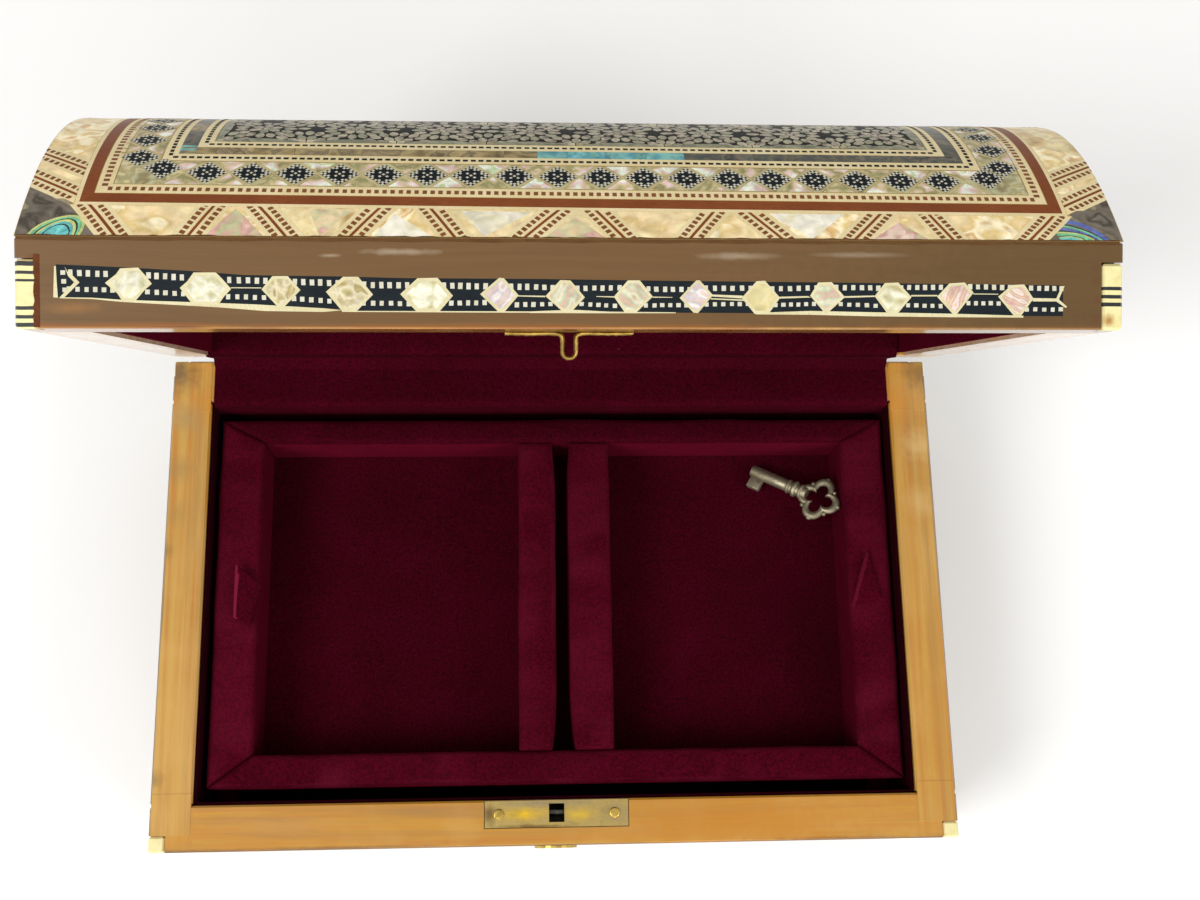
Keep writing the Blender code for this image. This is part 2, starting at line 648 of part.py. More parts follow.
def make_key():
    """The key, built along Z with its hollow tip at the top, then laid in the tray."""
    shank = KEY_SHANK_LENGTH
    profile = [(0, -KEY_BORE_DEPTH), (KEY_BORE_RADIUS, -KEY_BORE_DEPTH), (KEY_BORE_RADIUS, 0)]
    profile += [(KEY_SHANK_RADIUS, 0)]
    for place in KEY_COLLAR_PLACES:
        start, end = -place, -place - KEY_COLLAR_WIDTH
        profile += [(KEY_SHANK_RADIUS, start), (KEY_COLLAR_RADIUS, start)]
        profile += [(KEY_COLLAR_RADIUS, end), (KEY_SHANK_RADIUS, end)]
    profile += [(KEY_SHANK_RADIUS * 0.8, -shank), (0, -shank)]
    mesh = bpy.data.meshes.new("key")
    mesh.from_pydata([(x, 0, z) for x, z in profile], [(i, i + 1) for i in range(len(profile) - 1)], [])
    key = bpy.data.objects.new("key", mesh)
    bpy.context.scene.collection.objects.link(key)
    turned = key.modifiers.new("turned", "SCREW")
    turned.steps = turned.render_steps = 20
    turned.use_merge_vertices = True
    turned.merge_threshold = 0.00001
    keep(key, "key", PARTS, NICKEL)

    bit_top = -KEY_BIT_INSET
    bit = box(
        "key_bit",
        (KEY_BORE_RADIUS + BORE_GAP, -KEY_BIT_THICKNESS / 2, bit_top - KEY_BIT_LENGTH),
        (KEY_BIT_REACH, KEY_BIT_THICKNESS / 2, bit_top),
        None, where=CUTTERS,
    )
    bow_centre = -shank - KEY_BOW_RADIUS - KEY_BOW_LOBE + KEY_BOW_WIRE
    ring = []
    for i in range(KEY_BOW_POINTS):
        turn = math.tau * i / KEY_BOW_POINTS
        radius = KEY_BOW_RADIUS + KEY_BOW_LOBE * math.cos(KEY_BOW_LOBES * turn)
        ring.append((radius * math.sin(turn), 0, bow_centre + radius * math.cos(turn)))
    bow = drawn("key_bow", ring)
    bow.data.dimensions = "3D"
    bow.data.bevel_depth = KEY_BOW_WIRE
    bow.data.bevel_resolution = 2
    bpy.context.view_layer.update()
    bow = keep(as_mesh(bow), "key_bow", CUTTERS)
    join(key, bit)
    join(key, bow)

    place = bpy.data.objects.new("key_place", None)
    PARTS.objects.link(place)
    for piece in (key, bit, bow):
        piece.parent = place
    floor = TRAY_FLOOR + CLOTH_GAP
    tip_x = TRAY_RIGHT - RAIL_RIGHT - KEY_TIP_FROM_RIGHT
    tip_y = TRAY_BACK - RAIL_BACK - KEY_TIP_FROM_BACK
    lift = math.radians(KEY_LIFT_DEG)
    tip_z = floor + KEY_SHANK_RADIUS * math.cos(lift) + RUNNING_GAP
    along_x_bow_flat = Matrix.Rotation(-math.pi / 2, 4, "Z") @ Matrix.Rotation(math.pi / 2, 4, "X")
    turn = Matrix.Rotation(math.radians(KEY_TURN_DEG), 4, "Z") @ Matrix.Rotation(-lift, 4, "Y")
    place.matrix_world = Matrix.Translation((tip_x, tip_y, tip_z)) @ turn @ along_x_bow_flat


boards = make_body_boards()
make_body_lining()
make_tray_ledges()
make_tray()
make_pull_tabs()
make_lock(boards["front"])
lid_boards = make_lid_boards()
make_lid_ends()
make_lid_top()
make_lid_lining()
make_strike(lid_boards["front"])
make_hinge_cloth()
make_hinge("left", LEFT + HINGE_INSET, boards["back"], lid_boards["back"])
make_hinge("right", RIGHT - HINGE_INSET, boards["back"], lid_boards["back"])
make_key()
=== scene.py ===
"""The looks of a small domed jewellery box inlaid with mother-of-pearl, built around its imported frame."""

import json
import math
import random
from contextlib import contextmanager

import bmesh
import bpy
import numpy as np
from mathutils import Matrix, Vector, noise


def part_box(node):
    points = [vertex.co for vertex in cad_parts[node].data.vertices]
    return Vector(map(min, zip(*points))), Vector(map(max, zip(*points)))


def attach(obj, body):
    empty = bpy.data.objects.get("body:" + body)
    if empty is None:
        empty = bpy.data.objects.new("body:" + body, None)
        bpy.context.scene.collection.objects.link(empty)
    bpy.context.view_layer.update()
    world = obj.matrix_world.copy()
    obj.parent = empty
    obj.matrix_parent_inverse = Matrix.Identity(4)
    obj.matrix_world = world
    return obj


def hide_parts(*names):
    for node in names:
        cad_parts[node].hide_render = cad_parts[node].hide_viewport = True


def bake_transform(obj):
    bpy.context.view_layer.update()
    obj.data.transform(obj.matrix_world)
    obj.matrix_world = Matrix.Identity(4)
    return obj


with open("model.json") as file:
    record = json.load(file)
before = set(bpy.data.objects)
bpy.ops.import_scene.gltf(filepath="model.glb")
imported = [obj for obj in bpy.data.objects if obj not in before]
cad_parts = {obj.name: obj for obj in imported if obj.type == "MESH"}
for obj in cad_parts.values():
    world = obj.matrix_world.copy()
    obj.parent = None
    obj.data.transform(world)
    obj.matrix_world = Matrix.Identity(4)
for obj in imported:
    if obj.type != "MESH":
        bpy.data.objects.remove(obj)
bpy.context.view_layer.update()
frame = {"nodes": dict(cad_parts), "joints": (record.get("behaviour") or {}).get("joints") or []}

bl_info = {
    "name": "Shell Box Looks",
    "version": (1, 0, 0),
    "blender": (4, 5, 0),
    "location": "View3D > Sidebar > Shell Box",
    "description": "Inlay, lacquer, velvet and brass for a domed jewellery box",
    "category": "Object",
}

MM = 0.001

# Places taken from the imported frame. The lid is described in its closed place and then turned open.

HINGE = Vector(frame["joints"][0]["pos_m"])
OPENING = math.radians(frame["joints"][0]["range_deg"][0])
LID_TURN = Matrix.Translation(HINGE) @ Matrix.Rotation(OPENING, 4, "X") @ Matrix.Translation(-HINGE)
LID_SHIFT = sum(end.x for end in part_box("lid_front_board")) / 2
LID_PLACE = LID_TURN @ Matrix.Translation((LID_SHIFT, 0, 0))


def closed_box(node, place=LID_PLACE):
    """The lowest and highest corners of a lid node when the lid is shut, taken back from its open place."""
    back = place.inverted()
    points = [back @ vertex.co for vertex in frame["nodes"][node].data.vertices]
    low = Vector([min(point[axis] for point in points) for axis in range(3)])
    high = Vector([max(point[axis] for point in points) for axis in range(3)])
    return low, high


BODY_LOW = Vector((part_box("body_left_board")[0].x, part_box("body_front_board")[0].y, 0.0))
BODY_HIGH = Vector((-BODY_LOW.x, -BODY_LOW.y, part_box("body_front_board")[1].z))
RIM = BODY_HIGH.z
LID_LOW, LID_HIGH = closed_box("lid_front_board")
DOME_LOW, DOME_HIGH = closed_box("lid_top")
HALF_DEPTH = DOME_HIGH.y
DOME_POWER = 2.5

# The dome's curve as a table: its length from the front edge, its place and the way it faces
_share = np.linspace(-1, 1, 6001)
DOME_Y = HALF_DEPTH * _share
DOME_Z = DOME_LOW.z + (DOME_HIGH.z - DOME_LOW.z) * (1 - np.abs(_share) ** DOME_POWER)
_dy, _dz = np.gradient(DOME_Y), np.gradient(DOME_Z)
DOME_RUN = np.concatenate([[0], np.cumsum(np.hypot(np.diff(DOME_Y), np.diff(DOME_Z)))])
DOME_NORMAL = np.stack([-_dz, _dy], 1) / np.hypot(_dy, _dz)[:, None]

# The flat size of the dome's veneer, in mm, across and from the front edge to the back edge
ACROSS = (DOME_HIGH.x - DOME_LOW.x) / MM
ROUND = DOME_RUN[-1] / MM


def linear(code):
    """An sRGB hex code as linear red, green and blue."""
    parts = [int(code[i:i + 2], 16) / 255 for i in (1, 3, 5)]
    return tuple(part / 12.92 if part <= 0.04045 else ((part + 0.055) / 1.055) ** 2.4 for part in parts)


def size_setting(name, default, description):
    return bpy.props.FloatProperty(
        name=name, description=description, default=default, unit="LENGTH", precision=5
    )


def colour_setting(name, code, description):
    return bpy.props.FloatVectorProperty(
        name=name, description=description, default=linear(code), subtype="COLOR", size=3, min=0, max=1
    )


class ShellBoxSizes(bpy.types.PropertyGroup):
    veneer_top: size_setting("Veneer top", 0.00010, "Height of the veneer's ground over the wood")
    chip_top: size_setting("Chip top", 0.00016, "Height of the inlaid strips and shells over the wood")
    dot_top: size_setting("Dot top", 0.00020, "Height of the smallest inlays over the wood")
    border: size_setting("Zigzag border", 0.0077, "Width of the outermost border of the dome")
    cream_line: size_setting("Cream line", 0.0008, "Width of the cream line inside the border")
    red_band: size_setting("Red-brown band", 0.0026, "Width of the red-brown band")
    dotted_band: size_setting("Dotted band", 0.0030, "Width of the cream band with brown squares")
    lozenge_field: size_setting(
        "Lozenge field", 0.0084, "Width of the field of shell with checkered lozenges"
    )
    dashed_band: size_setting("Dashed band", 0.0028, "Width of each cream band with dark dashes")
    abalone_band: size_setting(
        "Abalone band", 0.0031, "Width of the band of abalone between the dashed bands"
    )
    inlay_pitch: size_setting("Square pitch", 0.0015, "Distance from one small square to the next")
    lozenge_pitch: size_setting(
        "Lozenge pitch", 0.0084, "Distance from one lozenge to the next along the front"
    )
    rail_round: size_setting("Rail rounding", 0.0014, "Radius of the tray rails' long edges")
    camera_lens: bpy.props.FloatProperty(
        name="Camera lens", description="Focal length in millimetres on a 36 mm frame", default=43.270,
        unit="CAMERA",
    )


class ShellBoxColours(bpy.types.PropertyGroup):
    velvet: colour_setting("Velvet", "#410313", "Burgundy of the velvet's pile")
    velvet_light: colour_setting("Velvet nap", "#490418", "Velvet where the nap leans to the light")
    velvet_sheen: colour_setting("Velvet sheen", "#B0163C", "Light caught by the ends of the pile")
    wood: colour_setting("Varnished wood", "#D39A45", "Golden colour of the pale wood under varnish")
    wood_dark: colour_setting("Wood grain", "#B97A2B", "Darker lines of the grain")
    lacquer: colour_setting("Brown lacquer", "#745734", "Brown paint of the outside")
    lacquer_dark: colour_setting("Lacquer streaks", "#624628", "Darker brush streaks in the paint")
    cream: colour_setting("Cream veneer", "#F3E2B4", "Pale strips of the inlay")
    brown_square: colour_setting("Brown squares", "#8A5632", "Small squares in the cream strips")
    red_brown: colour_setting("Red-brown band", "#8C4C24", "Broad band around the field")
    ebony: colour_setting("Black ground", "#20272B", "Black ground and lozenges")
    bone: colour_setting("Bone", "#E9DEA2", "Yellowed bone of the corner strips")
    brass: colour_setting("Old brass", "#EBC96A", "Brass of the lock and hinges")
    nickel: colour_setting("Dull nickel", "#DCD4BC", "Worn plating of the key")


def sizes():
    return bpy.context.scene.shell_box_sizes


def colours():
    return bpy.context.scene.shell_box_colours


# Node and material helpers


def feed(tree, socket, value):
    """Link a socket or give it its value. A colour is a hex code or three numbers."""
    if isinstance(value, bpy.types.NodeSocket):
        tree.links.new(value, socket)
    elif socket.type == "RGBA":
        socket.default_value = (*(linear(value) if isinstance(value, str) else value), 1.0)
    else:
        socket.default_value = value


def add_node(tree, kind, inputs=None, out=0, stops=None, **settings):
    """Add a node with its settings, its colour stops and its values or links, and return one output."""
    node = tree.nodes.new("ShaderNode" + kind)
    for key, value in settings.items():
        setattr(node, key, value)
    if stops:
        elements = node.color_ramp.elements
        elements[0].position, elements[-1].position = stops[0][0], stops[-1][0]
        for place, _ in stops[1:-1]:
            elements.new(place)
        for element, (_, code) in zip(elements, stops):
            element.color = (*linear(code), 1)
    for key, value in (inputs or {}).items():
        feed(tree, node.inputs[key], value)
    return node.outputs[out]


def new_finish(name):
    made = bpy.data.materials.new(name)
    made.use_nodes = True
    return made, made.node_tree, made.node_tree.nodes["Principled BSDF"]


def set_shader(tree, shader, **values):
    """Numbers go on the shader's own sockets, and sockets are linked to them."""
    for key, value in values.items():
        feed(tree, shader.inputs[key.replace("_", " ").title().replace("Ior", "IOR")], value)


def lid_coordinates(tree):
    """Object coordinates turned back to the lid's closed place."""
    back = LID_PLACE.inverted()
    place = add_node(tree, "TexCoord", out="Object")
    return add_node(
        tree, "Mapping", {"Vector": place, "Location": back.to_translation(), "Rotation": back.to_euler()}
    )


def nacre(name, stops, patch=3.0, streak=0.25, spread=0.6, stripe=0.05, roughness=0.3, level=1.0, swing=0.55):
    """Mother-of-pearl, sawn flat and lacquered over: cloudy colours and soft growth lines in each chip."""
    made, tree, shader = new_finish(name)
    place = add_node(tree, "Attribute", attribute_name="chip_mm", out="Vector")
    tone = add_node(tree, "Attribute", attribute_name="chip_tone", out="Fac")
    cloud = add_node(
        tree, "TexNoise",
        {"Vector": place, "Scale": 1 / patch, "Detail": 3.0, "Roughness": 0.42, "Distortion": 0.5}
    )
    wide = add_node(
        tree, "MapRange", {"Value": cloud, "From Min": 0.30, "From Max": 0.70, "To Max": swing}, clamp=False
    )
    growth = add_node(
        tree, "TexWave",
        {"Vector": place, "Scale": stripe, "Distortion": 3.5, "Detail": 2.0, "Detail Scale": 0.8}, out="Fac"
    )
    lined = add_node(tree, "Math", {0: growth, 1: streak, 2: wide}, operation="MULTIPLY_ADD")
    turned = add_node(tree, "Math", {0: tone, 1: spread, 2: lined}, operation="MULTIPLY_ADD")
    folded = add_node(tree, "Math", {0: turned, 1: 1.0}, operation="PINGPONG")
    colour = add_node(tree, "ValToRGB", {"Fac": folded}, stops=stops)
    # Shell splits in thin leaves, and their edges show as fine darker or lighter wrinkles
    leaves = add_node(
        tree, "TexNoise", {"Vector": place, "Scale": 0.34, "Detail": 4.0, "Roughness": 0.5, "Distortion": 0.7}
    )
    wrinkle = add_node(
        tree, "MapRange",
        {"Value": leaves, "From Min": 0.32, "From Max": 0.66, "To Min": 0.84 * level, "To Max": 1.16 * level}
    )
    shade = add_node(tree, "Math", {0: tone, 1: 0.2 * level, 2: -0.1 * level}, operation="MULTIPLY_ADD")
    light = add_node(tree, "Math", {0: wrinkle, 1: shade}, operation="ADD")
    base = add_node(tree, "VectorMath", {0: colour, "Scale": light}, operation="SCALE")
    set_shader(
        tree, shader, base_color=base, roughness=roughness, specular_ior_level=0.1,
        normal=add_node(tree, "Bump", {"Height": leaves, "Strength": 0.25, "Distance": 0.0001}),
    )
    return made


def grained_veneer(name, colour, dark, grain=0.35, roughness=0.4, gloss=0.1):
    """A thin strip of dyed or plain wood under varnish: faint pores and streaks along it."""
    made, tree, shader = new_finish(name)
    place = add_node(tree, "Attribute", attribute_name="chip_mm", out="Vector")
    stretched = add_node(tree, "Mapping", {"Vector": place, "Scale": (0.35, 2.6, 1.0)})
    pores = add_node(tree, "TexNoise", {"Vector": stretched, "Scale": 1.3, "Detail": 4.0, "Roughness": 0.6})
    blotch = add_node(tree, "TexNoise", {"Vector": place, "Scale": 0.12, "Detail": 2.0})
    share = add_node(tree, "MapRange", {"Value": pores, "From Min": 0.45, "From Max": 0.75, "To Max": grain})
    base = add_node(tree, "Mix", {0: share, 6: colour, 7: dark}, data_type="RGBA", out=2)
    wash = add_node(
        tree, "MapRange", {"Value": blotch, "From Min": 0.35, "From Max": 0.7, "To Max": grain * 0.7}
    )
    base = add_node(tree, "Mix", {0: wash, 6: base, 7: dark}, data_type="RGBA", out=2)
    set_shader(
        tree, shader, base_color=base, roughness=roughness, specular_ior_level=gloss,
        normal=add_node(tree, "Bump", {"Height": pores, "Strength": 0.2, "Distance": 0.00004}),
    )
    return made


def velvet(name, sheen=0.3):
    """Cotton velvet glued over card: dark in the pile, with random nap patches, and a painted highlight and
    painted shade set by a value on each vertex.
    """
    made, tree, shader = new_finish(name)
    tone = colours()
    place = add_node(tree, "TexCoord", out="Object")
    # Tufts lie about 0.2 mm apart, and are drawn at about 0.7 mm so that they show
    tufts = add_node(tree, "TexNoise", {"Vector": place, "Scale": 1500.0, "Detail": 3.0, "Roughness": 0.75})
    nap = add_node(tree, "TexNoise", {"Vector": place, "Scale": 55.0, "Detail": 3.0, "Distortion": 0.6})
    leaning = add_node(tree, "MapRange", {"Value": nap, "From Min": 0.35, "From Max": 0.68})
    pile = add_node(tree, "Mix", {0: leaning, 6: tone.velvet, 7: tone.velvet_light}, data_type="RGBA", out=2)
    fleck = add_node(
        tree, "MapRange", {"Value": tufts, "From Min": 0.32, "From Max": 0.7, "To Min": 0.45, "To Max": 1.5}
    )
    shaded = add_node(tree, "VectorMath", {0: pile, "Scale": fleck}, operation="SCALE")
    lint = add_node(tree, "TexVoronoi", {"Vector": place, "Scale": 42.0, "Randomness": 1.0}, feature="F1")
    specks = add_node(
        tree, "MapRange", {"Value": lint, "From Min": 0.008, "From Max": 0.014, "To Min": 0.5, "To Max": 0.0}
    )
    colour = add_node(tree, "Mix", {0: specks, 6: shaded, 7: "#A8707C"}, data_type="RGBA", out=2)
    # Painted highlight where the value on each vertex rises towards 1, painted shade where it falls towards -1
    lean = add_node(tree, "Attribute", attribute_name="nap", out="Fac")
    up = add_node(tree, "MapRange", {"Value": lean, "From Max": 1.0, "To Max": 0.9})
    painted_shade_share = add_node(tree, "MapRange", {"Value": lean, "From Max": -1.0, "To Max": 0.85})
    colour = add_node(tree, "Mix", {0: up, 6: colour, 7: "#8C2440"}, data_type="RGBA", out=2)
    colour = add_node(tree, "Mix", {0: painted_shade_share, 6: colour, 7: "#100003"}, data_type="RGBA", out=2)
    set_shader(
        tree, shader, base_color=colour, roughness=0.95, specular_ior_level=0.03, sheen_weight=sheen,
        sheen_roughness=0.35, sheen_tint=tone.velvet_sheen,
        normal=add_node(tree, "Bump", {"Height": tufts, "Strength": 0.5, "Distance": 0.00012}),
    )
    return made


def with_colour_patches(tree, place, base, colour_patches):
    """Lay soft-edged patches over a colour, each given by its centre, radius, colour and strength. Callers give
    real stains and wear, and some give painted highlights, a painted reflection and painted shade.
    """
    ragged = add_node(tree, "TexNoise", {"Vector": place, "Scale": 420.0, "Detail": 3.0})
    for centre, radius, code, strength in colour_patches:
        reach = radius if isinstance(radius, tuple) else (radius, radius, radius)
        shifted = add_node(
            tree, "Mapping",
            {
                "Vector": place, "Location": [-c / r for c, r in zip(centre, reach)],
                "Scale": [1 / r for r in reach]
            }
        )
        away = add_node(tree, "VectorMath", {0: shifted}, operation="LENGTH", out="Value")
        rough = add_node(tree, "Math", {0: ragged, 1: 0.9, 2: away}, operation="MULTIPLY_ADD")
        share = add_node(
            tree, "MapRange",
            {"Value": rough, "From Min": 0.6, "From Max": 1.4, "To Min": strength, "To Max": 0.0}
        )
        base = add_node(tree, "Mix", {0: share, 6: base, 7: code}, data_type="RGBA", out=2)
    return base


ALONG_GRAIN, ACROSS_GRAIN = 14.0, 620.0
STREAK_ALONG, STREAK_ACROSS = 9.0, 170.0
PAINT_REACH = 0.00025


def painted_board(name, grain_axis, on_lid, colour_patches=(), lacquered=True, patches_on_paint=False, tint=None):
    """Pale wood under golden varnish inside and on the rim, and brown lacquer brushed on outside."""
    made, tree, shader = new_finish(name)
    tone = colours()
    place = lid_coordinates(tree) if on_lid else add_node(tree, "TexCoord", out="Object")
    # Grain lines about 1 mm apart and many centimetres long
    across = [ALONG_GRAIN if axis == grain_axis else ACROSS_GRAIN for axis in "XYZ"]
    drawn_out = add_node(tree, "Mapping", {"Vector": place, "Scale": across})
    grain = add_node(
        tree, "TexNoise",
        {"Vector": drawn_out, "Scale": 1.0, "Detail": 5.0, "Roughness": 0.55, "Distortion": 0.3}
    )
    wide = add_node(tree, "TexNoise", {"Vector": place, "Scale": 48.0, "Detail": 3.0, "Distortion": 0.5})
    parts = add_node(tree, "SeparateXYZ", {"Vector": place}).node.outputs
    if grain_axis == "X" and not on_lid and lacquered:
        # At the corners the grain of the side boards runs on to the front
        turned = add_node(
            tree, "Mapping", {"Vector": place, "Scale": (ACROSS_GRAIN, ALONG_GRAIN, ACROSS_GRAIN)}
        )
        upright = add_node(
            tree, "TexNoise",
            {"Vector": turned, "Scale": 1.0, "Detail": 5.0, "Roughness": 0.55, "Distortion": 0.3}
        )
        side = add_node(tree, "Math", {0: parts["X"]}, operation="ABSOLUTE")
        side = add_node(tree, "Math", {0: wide, 1: 0.003, 2: side}, operation="MULTIPLY_ADD")
        corner = add_node(tree, "MapRange", {"Value": side, "From Min": 0.0926, "From Max": 0.0934})
        grain = add_node(tree, "Mix", {0: corner, 2: grain, 3: upright}, data_type="FLOAT")
    lines = add_node(tree, "MapRange", {"Value": grain, "From Min": 0.40, "From Max": 0.70})
    wood = add_node(tree, "Mix", {0: lines, 6: tint or tone.wood, 7: tone.wood_dark}, data_type="RGBA", out=2)
    glow = add_node(tree, "MapRange", {"Value": wide, "From Min": 0.45, "From Max": 0.7, "To Max": 0.5})
    wood = add_node(tree, "Mix", {0: glow, 6: wood, 7: "#CFA258"}, data_type="RGBA", out=2)
    broad = [STREAK_ALONG if axis == grain_axis else STREAK_ACROSS for axis in "XYZ"]
    streaks = add_node(tree, "Mapping", {"Vector": place, "Scale": broad})
    streaks = add_node(
        tree, "TexNoise",
        {"Vector": streaks, "Scale": 1.0, "Detail": 6.0, "Roughness": 0.7, "Distortion": 0.4}
    )
    dusky = add_node(tree, "MapRange", {"Value": streaks, "From Min": 0.5, "From Max": 0.72, "To Max": 0.7})
    wood = add_node(tree, "Mix", {0: dusky, 6: wood, 7: "#9A7440"}, data_type="RGBA", out=2)
    wood = with_colour_patches(tree, place, wood, colour_patches)
    if not on_lid:
        # The wood is darker along the outer edges
        for axis, half in (("X", BODY_HIGH.x), ("Y", BODY_HIGH.y)):
            size = add_node(tree, "Math", {0: parts[axis]}, operation="ABSOLUTE")
            near = add_node(tree, "Math", {0: streaks, 1: 0.0022, 2: size}, operation="MULTIPLY_ADD")
            outer_edge_darkening = add_node(
                tree, "MapRange",
                {"Value": near, "From Min": half + 0.00040, "From Max": half + 0.00095, "To Max": 0.85}
            )
            wood = add_node(tree, "Mix", {0: outer_edge_darkening, 6: wood, 7: "#6A4E2C"}, data_type="RGBA", out=2)
    brush = add_node(tree, "Mapping", {"Vector": place, "Scale": (22.0, 22.0, 520.0)})
    strokes = add_node(tree, "TexNoise", {"Vector": brush, "Scale": 1.0, "Detail": 4.0, "Distortion": 0.8})
    paint = add_node(
        tree, "Mix", {0: strokes, 6: tone.lacquer_dark, 7: tone.lacquer}, data_type="RGBA", out=2
    )
    # The paint is rubbed through to an orange-brown along its lower edge
    foot = LID_LOW.z if on_lid else 0.0
    height = add_node(tree, "Math", {0: parts["Z"], 1: foot}, operation="SUBTRACT")
    uneven = add_node(tree, "Math", {0: wide, 1: 0.0016, 2: height}, operation="MULTIPLY_ADD")
    worn = add_node(
        tree, "MapRange",
        {"Value": uneven, "From Min": 0.0009, "From Max": 0.0019, "To Min": 0.75, "To Max": 0.0}
    )
    paint = add_node(tree, "Mix", {0: worn, 6: paint, 7: "#9A5A22"}, data_type="RGBA", out=2)
    # The patches go on the paint too; on the lid's front they hold wear, painted highlights and a painted shade
    if patches_on_paint:
        paint = with_colour_patches(tree, place, paint, colour_patches)
    # Outside faces carry the lacquer
    outside = 0.0
    if lacquered:
        far = []
        for axis, half in (("X", BODY_HIGH.x), ("Y", BODY_HIGH.y)):
            size = add_node(tree, "Math", {0: parts[axis]}, operation="ABSOLUTE")
            far.append(add_node(tree, "Math", {0: size, 1: half - PAINT_REACH}, operation="GREATER_THAN"))
        either = add_node(tree, "Math", {0: far[0], 1: far[1]}, operation="MAXIMUM")
        if on_lid:
            inside = add_node(tree, "Math", {0: parts["Z"], 1: LID_LOW.z + 0.0004}, operation="GREATER_THAN")
        else:
            inside = add_node(tree, "Math", {0: parts["Z"], 1: RIM - 0.0004}, operation="LESS_THAN")
        outside = add_node(tree, "Math", {0: either, 1: inside}, operation="MULTIPLY")
    colour = add_node(tree, "Mix", {0: outside, 6: wood, 7: paint}, data_type="RGBA", out=2)
    relief = add_node(tree, "Math", {0: strokes, 1: grain}, operation="ADD")
    if lacquered:
        coat = add_node(tree, "Math", {0: outside, 1: -0.7, 2: 0.85}, operation="MULTIPLY_ADD")
    else:
        coat = 0.3
    set_shader(
        tree, shader, base_color=colour, roughness=0.34, coat_weight=coat, coat_roughness=0.16,
        specular_ior_level=0.3,
        normal=add_node(tree, "Bump", {"Height": relief, "Strength": 0.4, "Distance": 0.00012}),
    )
    return made


def striped_bone(name, on_lid, bands, colour_patches=(), capped=False):
    """A corner strip laminated from yellowed bone and black horn. Bands are heights above the foot, in mm."""
    made, tree, shader = new_finish(name)
    tone = colours()
    place = lid_coordinates(tree) if on_lid else add_node(tree, "TexCoord", out="Object")
    foot = LID_LOW.z if on_lid else 0.0
    parts = add_node(tree, "SeparateXYZ", {"Vector": place}).node.outputs
    wavy = add_node(tree, "TexNoise", {"Vector": place, "Scale": 260.0, "Detail": 2.0})
    height = add_node(tree, "Math", {0: wavy, 1: 0.00022, 2: parts["Z"]}, operation="MULTIPLY_ADD")
    black = None
    for low, high in bands:
        middle, half = foot + (low + high) / 2 * MM + 0.00011, (high - low) / 2 * MM
        near = add_node(tree, "Math", {0: height, 1: middle, 2: half}, operation="COMPARE")
        black = near if black is None else add_node(tree, "Math", {0: black, 1: near}, operation="MAXIMUM")
    cloudy = add_node(tree, "TexNoise", {"Vector": place, "Scale": 500.0, "Detail": 4.0, "Roughness": 0.6})
    share = add_node(tree, "MapRange", {"Value": cloudy, "From Min": 0.45, "From Max": 0.8, "To Max": 0.6})
    bone = add_node(tree, "Mix", {0: share, 6: tone.bone, 7: "#CBB469"}, data_type="RGBA", out=2)
    bone = with_colour_patches(tree, place, bone, colour_patches)
    colour = bone if black is None else add_node(
        tree, "Mix", {0: black, 6: bone, 7: "#161A1C"}, data_type="RGBA", out=2
    )
    if capped:
        # At the back the ends of the strips are varnished over and dirty
        top = add_node(tree, "Math", {0: parts["Z"], 1: RIM - 0.0003}, operation="GREATER_THAN")
        dirty = add_node(tree, "Mix", {0: cloudy, 6: "#B88A48", 7: "#75603C"}, data_type="RGBA", out=2)
        colour = add_node(tree, "Mix", {0: top, 6: colour, 7: dirty}, data_type="RGBA", out=2)
    set_shader(
        tree, shader, base_color=colour, roughness=0.35, coat_weight=0.3, coat_roughness=0.2,
        normal=add_node(tree, "Bump", {"Height": cloudy, "Strength": 0.2, "Distance": 0.00005}),
    )
    return made


def old_metal(name, colour, tarnish, roughness=0.34, pitted=0.5, colour_patches=()):
    """Sheet or cast metal, rubbed and handled: scratches along it, darker tarnish in the hollows."""
    made, tree, shader = new_finish(name)
    place = add_node(tree, "TexCoord", out="Object")
    cloud = add_node(
        tree, "TexNoise",
        {"Vector": place, "Scale": 300.0, "Detail": 6.0, "Roughness": 0.6, "Distortion": 0.2}
    )
    drawn_out = add_node(tree, "Mapping", {"Vector": place, "Scale": (160.0, 2600.0, 900.0)})
    scratches = add_node(tree, "TexNoise", {"Vector": drawn_out, "Scale": 1.0, "Detail": 2.0})
    share = add_node(tree, "MapRange", {"Value": cloud, "From Min": 0.38, "From Max": 0.78, "To Max": 0.85})
    base = with_colour_patches(
        tree, place, add_node(tree, "Mix", {0: share, 6: colour, 7: tarnish}, data_type="RGBA", out=2), colour_patches
    )
    dull = add_node(
        tree, "MapRange",
        {
            "Value": cloud, "From Min": 0.3, "From Max": 0.75, "To Min": roughness - 0.08,
            "To Max": roughness + 0.25
        }
    )
    relief = add_node(tree, "Math", {0: cloud, 1: pitted, 2: scratches}, operation="MULTIPLY_ADD")
    set_shader(
        tree, shader, base_color=base, roughness=dull, metallic=1.0,
        normal=add_node(tree, "Bump", {"Height": relief, "Strength": 0.35, "Distance": 0.00008})
    )
    return made


def hide_glue():
    """Hide glue that has squeezed up between the boards and darkened under the varnish."""
    made, tree, shader = new_finish("amber_hide_glue")
    place = add_node(tree, "TexCoord", out="Object")
    lumps = add_node(tree, "TexNoise", {"Vector": place, "Scale": 700.0, "Detail": 3.0})
    base = add_node(tree, "Mix", {0: lumps, 6: "#8C6630", 7: "#5E421E"}, data_type="RGBA", out=2)
    set_shader(
        tree, shader, base_color=base, roughness=0.5,
        normal=add_node(tree, "Bump", {"Height": lumps, "Strength": 0.3, "Distance": 0.0001})
    )
    return made


# Mesh helpers


def clear_selection():
    for thing in list(bpy.context.selected_objects):
        thing.select_set(False)


def choose(piece):
    clear_selection()
    piece.select_set(True)
    bpy.context.view_layer.objects.active = piece


